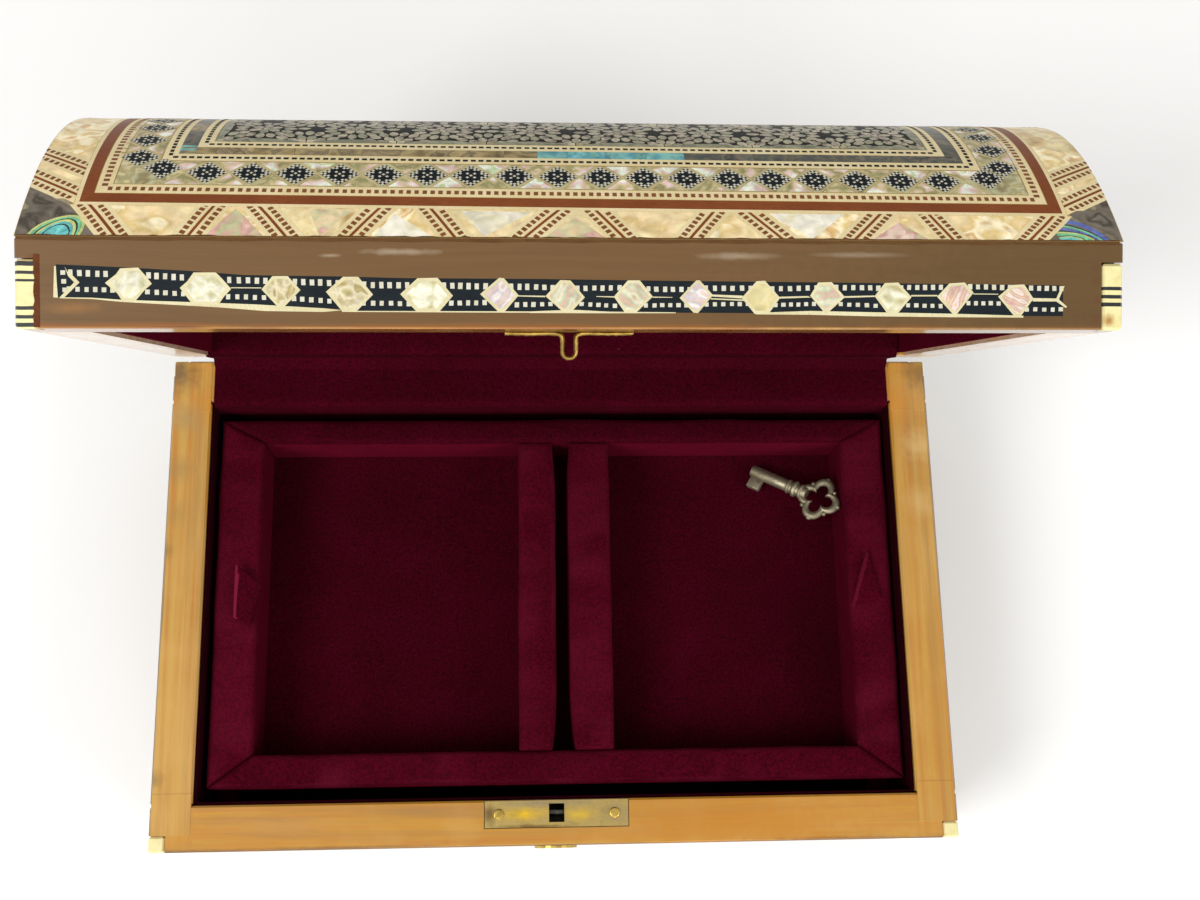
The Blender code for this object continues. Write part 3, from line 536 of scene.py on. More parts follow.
def begin(name, primitive, **settings):
    """Add a primitive at its size and place, as the start of a piece."""
    clear_selection()
    primitive(**settings)
    piece = bpy.context.object
    piece.name = piece.data.name = name
    bpy.ops.object.transform_apply(location=True, rotation=True, scale=True)
    return piece


def block(name, low, high):
    """A cube stretched between two corners."""
    clear_selection()
    low, high = Vector(low), Vector(high)
    bpy.ops.mesh.primitive_cube_add(size=1, location=(low + high) / 2)
    piece = bpy.context.object
    piece.name = piece.data.name = name
    piece.scale = high - low
    bpy.ops.object.transform_apply(location=True, rotation=True, scale=True)
    return piece


@contextmanager
def editing(piece, mode="EDGE"):
    choose(piece)
    bpy.ops.object.mode_set(mode="EDIT")
    bpy.ops.mesh.select_mode(type=mode)
    yield
    bpy.ops.object.mode_set(mode="OBJECT")


def pick(piece, kind, test):
    """Select vertices, edges or faces in edit mode by a test on them."""
    mesh = bmesh.from_edit_mesh(piece.data)
    for parts in (mesh.verts, mesh.edges, mesh.faces):
        for part in parts:
            part.select = False
    for part in list(getattr(mesh, kind)):
        if test(part):
            part.select_set(True)
    bmesh.update_edit_mesh(piece.data)


def sliced(piece, axis, places):
    """Cut a piece across by planes, so that it can bend smoothly."""
    normal = [float(axis == letter) for letter in "XYZ"]
    with editing(piece):
        for place in places:
            bpy.ops.mesh.select_all(action="SELECT")
            bpy.ops.mesh.bisect(plane_co=[place * part for part in normal], plane_no=normal)


def places_of(mesh):
    places = np.empty(len(mesh.vertices) * 3, np.float64)
    mesh.vertices.foreach_get("co", places)
    return places.reshape(-1, 3)


def reshaped(piece, change):
    """Move every vertex by a function of the whole list of places."""
    mesh = piece.data
    moved = np.asarray(change(places_of(mesh)), np.float64)
    mesh.vertices.foreach_set("co", moved.ravel())
    mesh.update()
    return piece


def with_modifier(piece, kind, **settings):
    """Add a modifier and apply it at once."""
    choose(piece)
    step = piece.modifiers.new(kind.lower(), kind)
    for key, value in settings.items():
        setattr(step, key, value)
    bpy.ops.object.modifier_apply(modifier=step.name)
    return piece


def joined(parts, name):
    """Make one piece of several, under the first one."""
    clear_selection()
    for part in parts:
        part.select_set(True)
    whole = bpy.context.view_layer.objects.active = parts[0]
    bpy.ops.object.join()
    whole.name = whole.data.name = name
    return whole


def tidied(piece):
    with editing(piece):
        bpy.ops.mesh.select_all(action="SELECT")
        bpy.ops.mesh.normals_make_consistent(inside=False)
    return piece


def smoothed(piece, degrees=35):
    choose(piece)
    bpy.ops.object.shade_smooth_by_angle(angle=math.radians(degrees))
    return piece


def dressed(piece, surface, body, slot, *stands_for):
    """Give a finished piece its material, its body and the nodes that it stands for."""
    piece.data.materials.clear()
    piece.data.materials.append(surface)
    if body:
        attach(piece, body)
    if stands_for:
        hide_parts(*stands_for)
    return piece


def dress_node(node, surface):
    mesh = frame["nodes"][node].data
    mesh.materials.clear()
    mesh.materials.append(surface)


def times(matrix, places):
    """Apply a matrix to a list of places."""
    turn = np.array(matrix)
    return places @ turn[:3, :3].T + turn[:3, 3]


def store_painted_velvet_light(piece, how):
    """Store on each vertex of velvet a value for painted light: above 0 a painted highlight, below 0 a painted
    shade, by a function of the places.
    """
    mesh = piece.data
    painted_light_shares = np.broadcast_to(how(places_of(mesh)), len(mesh.vertices))
    mesh.attributes.new("nap", "FLOAT", "POINT").data.foreach_set("value", painted_light_shares)


def soft_bumps(places, reach, depth, seed=0.0):
    """A smooth random height for each place, as on cloth over card."""
    return np.array([
        depth * noise.noise(Vector(place) / reach + Vector((seed, seed * 1.7, -seed)))
        for place in places
    ])


# Veneer: chips cut to flat outlines in mm, then laid on a face or bent over the dome


def over_dome(places):
    """Bend flat veneer over the dome: across, along the curve from the front, and height over the wood."""
    run = places[:, 1]
    whole = DOME_RUN[-1]
    # The pattern was laid a little askew, higher on the left at the front
    askew = 0.0009 * (1 - 2 * places[:, 0] / (DOME_HIGH.x - DOME_LOW.x))
    run = run + askew * np.clip(run / 0.006, 0, 1) * np.clip((whole - run) / 0.04, 0, 1)
    y, z = np.interp(run, DOME_RUN, DOME_Y), np.interp(run, DOME_RUN, DOME_Z)
    side = np.stack([np.interp(run, DOME_RUN, DOME_NORMAL[:, i]) for i in (0, 1)], 1)
    side /= np.linalg.norm(side, axis=1)[:, None]
    bent = np.stack([
        DOME_LOW.x + places[:, 0], y + side[:, 0] * places[:, 2], z + side[:, 1] * places[:, 2]
    ], 1)
    return times(LID_PLACE, bent)


def on_face(corner, along, up, turn=None):
    """A function that stands flat veneer on a face, from its lower left corner seen from outside."""
    corner, along, up = (np.array(part, float) for part in (corner, along, up))
    outwards = np.cross(along, up)

    def stand(places):
        stood = corner + places[:, :1] * along + places[:, 1:2] * up + places[:, 2:] * outwards
        return stood if turn is None else times(turn, stood)

    return stand


LID_FRONT = on_face((LID_LOW.x, LID_LOW.y, LID_LOW.z), (1, 0, 0), (0, 0, 1), LID_PLACE)


def cut_veneer(
    name, outlines, top, surface, seed=1, place=over_dome, body="lid", thick=0.00012, bend=None, turned=True
):
    """Make one closed piece from flat chips. Each chip gets its own tone and its own stretch of shell."""
    shuffle = random.Random(seed)
    points, faces, tones, spots = [], [], [], []
    for outline in outlines:
        faces.append(range(len(points), len(points) + len(outline)))
        tone, turn = shuffle.random(), shuffle.uniform(0, math.tau) if turned else 0.0
        shift = (shuffle.uniform(-400, 400), shuffle.uniform(-400, 400))
        for x, y in outline:
            points.append((x * MM, y * MM, top))
            tones.append(tone)
            spots.append((
                x * math.cos(turn) - y * math.sin(turn) + shift[0],
                x * math.sin(turn) + y * math.cos(turn) + shift[1],
                tone * 50,
            ))
    mesh = bpy.data.meshes.new(name)
    mesh.from_pydata(points, [], [list(face) for face in faces])
    mesh.attributes.new("chip_tone", "FLOAT", "POINT").data.foreach_set("value", tones)
    mesh.attributes.new(
        "chip_mm", "FLOAT_VECTOR", "POINT"
    ).data.foreach_set("vector", np.array(spots).ravel())
    piece = bpy.data.objects.new(name, mesh)
    bpy.context.scene.collection.objects.link(piece)
    with editing(piece):
        pick(piece, "faces", lambda face: face.normal.z < 0)
        bpy.ops.mesh.flip_normals()
    if bend:
        low = min(point[1] for point in points)
        high = max(point[1] for point in points)
        count = int((high - low) / (bend * MM))
        sliced(piece, "Y", [low + (high - low) * (i + 0.5) / count for i in range(count)] if count else [])
    with_modifier(piece, "SOLIDIFY", thickness=thick, offset=-1)
    reshaped(piece, place)
    return dressed(piece, surface, body, "brown_lacquer")


def corners_at(inset):
    """The corners of a rectangle of the pattern. The outer bands lie further in at the ends."""
    side = inset + float(np.interp(inset, (0, 7.7, 8.5, 11.1, 14.1, 22.5), (0, 1.4, 1.4, 1.0, 1.1, 0)))
    return [(side, inset), (ACROSS - side, inset), (ACROSS - side, ROUND - inset), (side, ROUND - inset)]


def ring(outer, inner):
    """Four mitred strips between two distances from the edge, in mm."""
    a, b = corners_at(outer), corners_at(inner)
    return [[a[i], a[(i + 1) % 4], b[(i + 1) % 4], b[i]] for i in range(4)]


def ring_path(inset):
    """The four sides of a rectangle at a distance from the edge, each from corner to corner."""
    corners = corners_at(inset)
    return [(corners[i], corners[(i + 1) % 4]) for i in range(4)]


def along(start, end, offset, from_start, to_start, half):
    """A rectangle beside a line, from one distance to another along it, centred at an offset to its left."""
    (x0, y0), (x1, y1) = start, end
    length = math.hypot(x1 - x0, y1 - y0)
    dx, dy = (x1 - x0) / length, (y1 - y0) / length
    nx, ny = -dy, dx
    return [
        (x0 + dx * run + nx * side, y0 + dy * run + ny * side)
        for run, side in (
            (from_start, offset - half), (to_start, offset - half), (to_start, offset + half),
            (from_start, offset + half)
        )
    ]


def row(start, end, offset, pitch, size, half, jitter=0.0, shuffle=None, margin=0.4):
    """Evenly spaced rectangles along a line."""
    length = math.dist(start, end)
    count = max(1, round((length - 2 * margin) / pitch))
    step = (length - 2 * margin) / count
    made = []
    for i in range(count):
        middle = margin + step * (i + 0.5) + (shuffle.uniform(-jitter, jitter) if shuffle else 0)
        made.append(along(start, end, offset, middle - size / 2, middle + size / 2, half))
    return made


def clipped(outline, axis, limit, keep_above):
    """The part of an outline on one side of a line across an axis."""
    made = []
    for i, here in enumerate(outline):
        there = outline[(i + 1) % len(outline)]
        in_here = (here[axis] > limit) == keep_above
        in_there = (there[axis] > limit) == keep_above
        if in_here:
            made.append(here)
        if in_here != in_there:
            share = (limit - here[axis]) / (there[axis] - here[axis])
            made.append(tuple(here[k] + (there[k] - here[k]) * share for k in (0, 1)))
    return made


def area_of(outline):
    return abs(sum(
        outline[i][0] * outline[
            (i + 1) % len(outline)
        ][1] - outline[(i + 1) % len(outline)][0] * outline[i][1]
        for i in range(len(outline))
    )) / 2


def within(outlines, low_x, low_y, high_x, high_y):
    """Outlines cut to a rectangle, without the slivers."""
    kept = []
    for outline in outlines:
        for axis, limit, above in (
            (0, low_x, True), (0, high_x, False), (1, low_y, True), (1, high_y, False)
        ):
            outline = clipped(outline, axis, limit, above) if len(outline) > 2 else []
        if len(outline) > 2 and area_of(outline) > 0.12:
            kept.append(outline)
    return kept


def lozenge(x, y, wide, high):
    return [(x - wide / 2, y), (x, y - high / 2), (x + wide / 2, y), (x, y + high / 2)]


def mirrored(outlines, middle_x=None, middle_y=None):
    """Outlines with their copies on the other side of a middle line."""
    made = list(outlines)
    if middle_x is not None:
        made += [[(2 * middle_x - x, y) for x, y in reversed(outline)] for outline in made]
    if middle_y is not None:
        made += [[(x, 2 * middle_y - y) for x, y in reversed(outline)] for outline in made]
    return made


# Where the zigzag's strips cross the border along the front, in mm: at its inner edge and at the lid's edge
ZIGZAG = (
    (11.9, 18.0), (34.6, 30.9), (42.9, 48.6), (65.1, 60.0), (74.6, 79.3), (98.5, 91.9),
    (105.5, 110.6), (127.7, 122.6), (134.5, 140.1), (159.6, 153.6), (169.0, 172.4), (193.1, 186.9),
)
# The same at the left and right ends: distance along the curve at the inner edge and at the lid's edge
END_BANDS = ((10.6, 16.2), (19.0, 24.6), (73.6, 66.4), (65.4, 58.2))


# A zigzag strip in mm: half its width, half its middle line, its rows' offset, and its squares
STRIP_HALF, LINE_HALF, ROW_OFFSET = 2.85, 0.27, 1.45
SQUARE_PITCH, SQUARE_LONG, SQUARE_HALF = 1.30, 0.78, 0.50


def strip_parts(start, end, region):
    """One zigzag strip: its cream ground, its brown middle line and its two rows of brown squares."""
    over = 4.0
    length = math.dist(start, end)
    dx, dy = (end[0] - start[0]) / length, (end[1] - start[1]) / length
    first = (start[0] - dx * over, start[1] - dy * over)
    last = (end[0] + dx * over, end[1] + dy * over)
    long = math.dist(first, last)
    ground = within([along(first, last, 0.0, 0, long, STRIP_HALF)], *region)
    line = within([along(first, last, 0.0, 0, long, LINE_HALF)], *region)
    squares = []
    for side in (-ROW_OFFSET, ROW_OFFSET):
        squares += row(first, last, side, SQUARE_PITCH, SQUARE_LONG, SQUARE_HALF, margin=0.0)
    return ground, line, within(squares, *region)


class SHELLBOX_OT_stage(bpy.types.Operator):
    """Add the pale table, the soft lights and the camera"""

    bl_idname = "shellbox.stage"
    bl_label = "Stage"

    def execute(self, context):
        table = begin("table", bpy.ops.mesh.primitive_plane_add, size=6)
        with editing(table):
            bpy.ops.mesh.select_all(action="SELECT")
            bpy.ops.mesh.subdivide(number_cuts=8)
        made, tree, shader = new_finish("matt_white_table")
        place = add_node(tree, "TexCoord", out="Object")
        faint = add_node(tree, "TexNoise", {"Vector": place, "Scale": 6.0, "Detail": 3.0})
        white = add_node(tree, "Mix", {0: faint, 6: "#FAFAF9", 7: "#FDFDFD"}, data_type="RGBA", out=2)
        set_shader(tree, shader, base_color=white, roughness=0.8, specular_ior_level=0.2)
        table.data.materials.append(made)

        world = bpy.data.worlds.new("soft_room")
        context.scene.world = world
        world.use_nodes = True
        world.node_tree.nodes["Background"].inputs["Color"].default_value = (1.0, 0.985, 0.965, 1)
        world.node_tree.nodes["Background"].inputs["Strength"].default_value = 0.56
        for name, place, aim, size, power in (
            ("window", (-0.75, -0.40, 0.95), (0, 0, 0.05), 0.55, 9.0),
            ("room_light", (0.95, -0.55, 0.75), (0, 0, 0.05), 0.7, 6.2),
            ("front_fill", (0.1, -1.2, 0.55), (0, 0, 0.1), 0.7, 3.6),
        ):
            lamp = bpy.data.lights.new(name, "AREA")
            lamp.size, lamp.energy = size, power
            holder = bpy.data.objects.new(name, lamp)
            context.scene.collection.objects.link(holder)
            holder.location = place
            holder.rotation_euler = (Vector(aim) - Vector(place)).to_track_quat("-Z", "Y").to_euler()

        view = bpy.data.cameras.new("photo_camera")
        view.sensor_fit, view.sensor_width = "HORIZONTAL", 36
        view.lens = sizes().camera_lens
        view.clip_start, view.clip_end = 0.01, 20
        camera = bpy.data.objects.new("photo_camera", view)
        context.scene.collection.objects.link(camera)
        camera.location = (-0.011585, -0.056058, 0.427289)
        camera.rotation_euler = [math.radians(turn) for turn in (14.15313, -3.30528, -1.04802)]
        context.scene.camera = camera
        context.scene.view_settings.view_transform = "Standard"
        return {"FINISHED"}


class SHELLBOX_OT_boards(bpy.types.Operator):
    """Varnish and lacquer the wooden boards of the body and the lid"""

    bl_idname = "shellbox.boards"
    bl_label = "Wooden boards"

    def execute(self, context):
        left, right, back = BODY_LOW.x, BODY_HIGH.x, BODY_HIGH.y
        rear_stains = (
            ((left + 0.011, back - 0.013, RIM), 0.008, "#C8821E", 0.6),
            ((left + 0.001, back - 0.003, RIM), 0.008, "#5A4A34", 0.75),
            ((left + 0.004, back - 0.016, RIM), 0.006, "#A08450", 0.6),
            ((left + 0.003, back - 0.030, RIM), 0.005, "#9C7C46", 0.5),
            ((left + 0.003, back - 0.042, RIM), 0.005, "#A5803F", 0.45),
            ((left + 0.0005, 0.012, RIM), 0.0026, "#7E6236", 0.5),
            ((left + 0.0005, -0.046, RIM), 0.0032, "#7E6236", 0.55),
        )
        right_stains = (
            ((right - 0.010, back - 0.012, RIM), 0.008, "#C8821E", 0.6),
            ((right - 0.001, back - 0.003, RIM), 0.007, "#5A4A34", 0.6),
            ((right - 0.003, back - 0.024, RIM), 0.006, "#D8B878", 0.5),
            ((right - 0.004, back - 0.040, RIM), 0.006, "#D8B878", 0.4),
            ((right - 0.004, -0.035, RIM), (0.006, 0.030, 0.01), "#B9822A", 0.6),
            ((right - 0.007, 0.010, RIM), (0.003, 0.030, 0.01), "#BC8830", 0.5),
        )
        front_stains = (
            ((left + 0.034, BODY_LOW.y + 0.006, RIM), (0.022, 0.003, 0.01), "#C08A48", 0.5),
            ((0.050, BODY_LOW.y + 0.005, RIM), (0.050, 0.012, 0.01), "#BE7C12", 0.75),
            ((-0.055, BODY_LOW.y + 0.0004, RIM), (0.040, 0.0007, 0.01), "#6A4A22", 0.6),
            ((0.070, BODY_LOW.y + 0.0004, RIM), (0.028, 0.0007, 0.01), "#7A4E20", 0.55),
            ((right - 0.004, BODY_LOW.y + 0.009, RIM), (0.006, 0.006, 0.01), "#B9862A", 0.7),
        )
        side_woods = {
            "left": painted_board("left_board_pale_wood", "Y", False, rear_stains, tint="#C39846"),
            "right": painted_board("right_board_pale_wood", "Y", False, right_stains, tint="#C2943E"),
        }
        inner_x, inner_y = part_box("body_left_board")[1].x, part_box("body_front_board")[1].y
        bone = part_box("body_corner_strip_front_left")[1].y
        for side, surface in side_woods.items():
            dress_node(f"body_{side}_board", surface)
            # Thin laps of the side boards' wood over the corner joints
            for end, near, far in (
                ("front", bone + 0.0001, inner_y + 0.0030), ("back", -inner_y - 0.0030, back - 0.00035)
            ):
                sign = -1 if side == "left" else 1
                ends = sorted((sign * (abs(inner_x) + 0.0002), sign * (right - 0.00035)))
                lap = block(
                    f"corner_lap_{end}_{side}", (ends[0], near, RIM - 0.0003), (ends[1], far, RIM + 0.00010)
                )
                with editing(lap):
                    pick(lap, "edges", lambda edge: min(v.co.z for v in edge.verts) > RIM)
                    bpy.ops.mesh.bevel(offset=0.00006, segments=2, affect="EDGES")
                dressed(lap, surface, "box", "varnished_wood")
        dress_node(
            "body_front_board",
            painted_board("front_board_pale_wood", "X", False, front_stains, tint="#C08A2B")
        )
        dress_node(
            "body_back_board",
            painted_board(
                "back_board_pale_wood", "Y", False, rear_stains[:3] + right_stains[:3], tint="#BE9142"
            )
        )
        dress_node("body_bottom_board", painted_board("bottom_board_pale_wood", "X", False, lacquered=False))

        def on_front(x, height):
            return (LID_LOW.x + x * MM, LID_LOW.y, LID_LOW.z + height * MM)

        # Worn paint under the band and reddish paint beside the bone, then painted highlights as pale smears
        # near the top and a painted shade over the right end
        front_wear_and_painted_light = [
            (on_front(10.5, 3.7), (0.0065, 0.01, 0.0013), "#8E6332", 0.75),
            (on_front(36.0, 0.1), (0.006, 0.01, 0.0007), "#A9772E", 0.6),
            (on_front(96.0, 0.1), (0.022, 0.01, 0.0006), "#8A4E1C", 0.6),
        ]
        for x, heights in ((3.0, (1, 4, 7, 10, 12.6)), (199.8, (2, 5.5, 9, 11.8))):
            front_wear_and_painted_light += [(on_front(x, height), 0.0013, "#6E3418", 0.55) for height in heights]
        # Painted highlights: pale smears along the top of the lid's front
        for x, height, long, thin in (
            (69.5, 14.1, 9.0, 0.8), (131.5, 13.6, 9.0, 0.9), (154.5, 13.9, 11.0, 0.7), (56.5, 13.4, 2.4, 0.5)
        ):
            front_wear_and_painted_light.append((on_front(x, height), (long * MM, 0.01, thin * MM), "#A5937B", 0.7))
        # Painted shade: a broad darker patch over the right end of the lid's front
        front_wear_and_painted_light.append((on_front(192.0, 9.0), (0.075, 0.02, 0.04), "#56401F", 0.6))
        # A painted reflection: pale pinkish patches along the lower rim of both lid ends
        rim_painted_reflection = [
            (
                (LID_LOW.x + 0.005, -0.060 + 0.024 * i, LID_LOW.z), (0.012, 0.022, 0.01), "#E4DBD0", 0.72
            ) for i in range(6)
        ]
        rim_painted_reflection += [((-x, y, z), size, code, strength) for (x, y, z), size, code, strength in rim_painted_reflection]
        dress_node(
            "lid_front_board",
            painted_board("lid_front_lacquer", "X", True, front_wear_and_painted_light, patches_on_paint=True, tint="#6E431A")
        )
        dress_node("lid_back_board", painted_board("lid_back_lacquer", "X", True))
        dress_node("lid_left_end", painted_board("lid_left_lacquer", "Y", True, rim_painted_reflection))
        dress_node("lid_right_end", painted_board("lid_right_lacquer", "Y", True, rim_painted_reflection))
        dress_node("lid_top", painted_board("lid_panel_lacquer", "X", True))
        return {"FINISHED"}


class SHELLBOX_OT_joint_glue(bpy.types.Operator):
    """Fill the joints of the body's boards with dark glue, just below the rim"""

    bl_idname = "shellbox.joint_glue"
    bl_label = "Joint glue"

    def execute(self, context):
        low, high = BODY_LOW, BODY_HIGH
        inner_x, inner_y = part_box("body_left_board")[1].x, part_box("body_front_board")[1].y
        made = []
        for sign_x in (-1, 1):
            for sign_y in (-1, 1):
                one = Vector((sign_x * (high.x - 0.0005), sign_y * (high.y - 0.0005), RIM - 0.0014))
                two = Vector(
                    (sign_x * (abs(inner_x) + 0.0003), sign_y * (abs(inner_y) - 0.0035), RIM - 0.0007)
                )
                corners = [Vector(map(pick_end, one, two)) for pick_end in (min, max)]
                made.append(block("glue", *corners))
        dressed(joined(made, "joint_glue"), hide_glue(), "box", "varnished_wood")
        return {"FINISHED"}


class SHELLBOX_OT_corner_strips(bpy.types.Operator):
    """Colour the bone strips at the corners of the body and the lid"""

    bl_idname = "shellbox.corner_strips"
    bl_label = "Bone corner strips"

    def execute(self, context):
        left = ((0.30, 1.04), (1.79, 2.44), (3.36, 4.02), (8.47, 8.92), (9.81, 10.40), (11.29, 12.12))
        right = ((4.42, 5.19), (5.93, 6.62), (7.50, 8.16))
        spot = (LID_HIGH.x - 0.0026, LID_LOW.y, LID_LOW.z + 0.0018)
        for side, bands, colour_patches in (("left", left, ()), ("right", right, ((spot, 0.0016, "#A8731F", 0.9),))):
            surface = striped_bone(f"lid_{side}_bone", True, bands, colour_patches)
            for end in ("front", "back"):
                dress_node(f"lid_corner_strip_{end}_{side}", surface)
            tall = [
                (low + 25, high + 25) for low, high in bands
            ] + [(low + 6, high + 6) for low, high in bands]
            for end in ("front", "back"):
                surface = striped_bone(f"body_{end}_{side}_bone", False, tall, capped=end == "back")
                dress_node(f"body_corner_strip_{end}_{side}", surface)
        return {"FINISHED"}


class SHELLBOX_OT_dome_borders(bpy.types.Operator):
    """Lay the veneer's ground, the zigzag border and the plain bands over the dome"""

    bl_idname = "shellbox.dome_borders"
    bl_label = "Dome borders"

    def execute(self, context):
        tone, size = colours(), sizes()
        low, mid, high = size.veneer_top, size.chip_top, size.dot_top
        border = size.border / MM
        cream = grained_veneer("cream_veneer_strips", tone.cream, "#D3BC78", 0.5)
        brown = grained_veneer("brown_wood_squares", tone.brown_square, "#5E3A20", 0.6)
        red = grained_veneer("red_brown_veneer", tone.red_brown, "#6E3519", 0.7)

        ground = cut_veneer(
            "dome_veneer_ground", [[(0, 0), (ACROSS, 0), (ACROSS, ROUND), (0, ROUND)]], low,
            grained_veneer("gold_glue_ground", "#C9AE6C", "#8E7440", 0.6),
            thick=0.00009, bend=1.2, turned=False,
        )
        smoothed(ground)

        strips, lines, squares = [], [], []
        for inner, outer in ZIGZAG:
            made = strip_parts((inner, border), (outer, 0.0), (0.05, 0.05, ACROSS - 0.05, border - 0.02))
            for kept, new in zip((strips, lines, squares), made):
                kept += new
        ends = [[], [], []]
        for inner, outer in END_BANDS:
            made = strip_parts((border + 1.4, inner), (0.0, outer), (0.05, 9.4, border + 1.36, ROUND / 2))
            for kept, new in zip(ends, made):
                kept += new
        strips = mirrored(strips, middle_y=ROUND / 2) + mirrored(ends[0], ACROSS / 2, ROUND / 2)
        lines = mirrored(lines, middle_y=ROUND / 2) + mirrored(ends[1], ACROSS / 2, ROUND / 2)
        squares = mirrored(squares, middle_y=ROUND / 2) + mirrored(ends[2], ACROSS / 2, ROUND / 2)
        cut_veneer("zigzag_cream_strips", strips, mid, cream, 3, bend=2.0)
        cut_veneer("zigzag_brown_lines", lines, high, red, 4, bend=2.0)
        cut_veneer("zigzag_brown_squares", squares, high, brown, 5)

        gold = nacre(
            "gold_mother_of_pearl",
            (
                (0.0, "#C49C62"), (0.2, "#DCC188"), (0.4, "#F0DFAC"), (0.58, "#E6CDA0"), (0.72, "#D6BC7E"),
                (0.86, "#F4E8C4"), (1.0, "#CCA468")
            ),
            patch=4.6, streak=0.15, stripe=0.04, level=1.15, swing=0.45,
        )
        low_edge, top_edge = 0.12, border - 0.10
        marks = sorted(ZIGZAG, key=lambda mark: mark[1])
        front = []
        bounds = [(8.6, 14.6)] + list(marks) + [(196.4, 190.4)]
        for (inner_a, outer_a), (inner_b, outer_b) in zip(bounds[:-1], bounds[1:]):
            front.append([(outer_a, low_edge), (outer_b, low_edge), (inner_b, top_edge), (inner_a, top_edge)])
        front = mirrored(front, middle_y=ROUND / 2)
        inner_x = border + 1.3
        sides = mirrored(
            [
                [(0.12, 13.6), (inner_x, 8.2), (inner_x, 34.0), (0.12, 29.0)],
                [(0.12, 29.0), (inner_x, 34.0), (inner_x, 52.0), (0.12, 44.0)],
                [(0.12, 44.0), (inner_x, 52.0), (inner_x, ROUND / 2), (0.12, ROUND / 2)],
            ],
            ACROSS / 2, ROUND / 2,
        )
        cut_veneer("border_gold_shells", front + sides, (low + mid) / 2, gold, 11, bend=2.0)
        white_chips = [
            [(138.0, 7.5), (145.6, 0.2), (152.6, 7.5)], [(80.2, 7.2), (84.6, 0.4), (93.6, 7.1)],
            [(67.9, 6.2), (64.4, 0.3), (75.3, 0.2)],
        ]
        rosy_chips = [
            [(38.7, 7.2), (44.4, 0.3), (34.0, 0.3)], [(101.6, 5.6), (107.0, 0.3), (95.6, 0.3)],
            [(52.0, 7.2), (60.5, 7.2), (54.6, 0.3)], [(162.8, 5.4), (167.6, 0.3), (157.2, 0.3)],
        ]
        white = ((0.0, "#E6DCB4"), (0.3, "#F8F0D2"), (0.6, "#FFF9E8"), (0.85, "#EBE8CC"), (1.0, "#F4E4BE"))
        rosy = (
            (0.0, "#B48A6E"), (0.25, "#E2C29A"), (0.45, "#F2DCC8"), (0.62, "#D9A89C"), (0.8, "#C7C79A"),
            (1.0, "#EBCFA6"),
        )
        bright = (("white", 12, white_chips, white), ("rosy", 5, rosy_chips, rosy))
        for kind, seed, outlines, stops in bright:
            shell = nacre(
                f"border_{kind}_shell", stops, patch=3.6, streak=0.2, stripe=0.05, level=0.98, swing=0.5
            )
            cut_veneer(
                f"border_{kind}_shells", mirrored(outlines, middle_y=ROUND / 2), mid - 0.00002, shell, seed,
                bend=2.0
            )
        smoky = nacre(
            "smoky_abalone",
            (
                (0.0, "#5E5448"), (0.25, "#8A7C66"), (0.45, "#A39478"), (0.6, "#6E685A"), (0.8, "#7E7468"),
                (1.0, "#4C463E")
            ),
            patch=4.0, streak=0.3, stripe=0.05,
        )
        corner = mirrored(
            [[(0.12, low_edge), (14.6, low_edge), (8.5, top_edge), (8.5, 8.4), (0.12, 13.6)]], ACROSS / 2,
            ROUND / 2
        )
        cut_veneer("border_smoky_corners", corner, (low + mid) / 2 + 0.00001, smoky, 29, bend=2.0)
        # Growth lines of abalone, cut across as arcs of changing blue and green
        arcs = {"lime": [], "green": [], "turquoise": [], "blue": [], "dark": []}
        for centre, skew, (low_x, high_x), bands, start, end in (
            (
                (7.2, 0.2), 0.35, (0.2, 13.8),
                (
                    ("lime", 4.7, 4.2), ("green", 4.2, 3.75), ("dark", 3.75, 3.5), ("lime", 3.5, 3.0),
                    ("turquoise", 3.0, 2.5), ("dark", 2.5, 2.25), ("turquoise", 2.25, 0.2)
                ),
                0.0, 3.1416
            ),
            (
                (194.0, -3.2), 0.0, (191.2, ACROSS - 0.2),
                (
                    ("turquoise", 4.4, 3.4), ("lime", 4.75, 4.4), ("dark", 5.0, 4.75), ("green", 5.9, 5.0),
                    ("lime", 6.4, 5.9), ("dark", 6.7, 6.4), ("blue", 7.5, 6.7), ("green", 8.1, 7.5),
                    ("dark", 8.4, 8.1), ("blue", 9.6, 8.4)
                ),
                0.15, 1.85
            ),
        ):
            for kind, outer_r, inner_r in bands:
                turns = [start + (end - start) * k / 12 for k in range(13)]
                wave = [1 + 0.05 * math.sin(3.1 * turn + outer_r) for turn in turns]
                outer_arc, inner_arc = (
                    [
                        (
                            centre[0] + reach * f * (math.cos(t) + skew * math.sin(t)),
                            centre[1] + reach * f * math.sin(t)
                        )
                        for t, f in zip(turns, wave)
                    ]
                    for reach in (outer_r, inner_r)
                )
                for k in range(12):
                    piece = [inner_arc[k], outer_arc[k], outer_arc[k + 1], inner_arc[k + 1]]
                    arcs[kind] += within([piece], low_x, 0.15, high_x, 7.4)
        for kind, stops in (
            ("lime", ((0.0, "#A9BE6A"), (0.5, "#D3D98A"), (1.0, "#8FC28A"))),
            ("green", ((0.0, "#4FA88A"), (0.5, "#86D09C"), (1.0, "#3E8C84"))),
            ("turquoise", ((0.0, "#3FA0A6"), (0.5, "#7ED2CC"), (1.0, "#2F8A9C"))),
            ("blue", ((0.0, "#4A5E9C"), (0.5, "#6E78BA"), (1.0, "#3E6E8C"))),
            ("dark", ((0.0, "#22302F"), (0.5, "#35484A"), (1.0, "#2A2C30"))),
        ):
            shell = nacre(f"abalone_{kind}", stops, patch=2.0, spread=0.1)
            cut_veneer(
                f"border_abalone_{kind}", mirrored(arcs[kind], middle_y=ROUND / 2), mid - 0.00001, shell, 31
            )

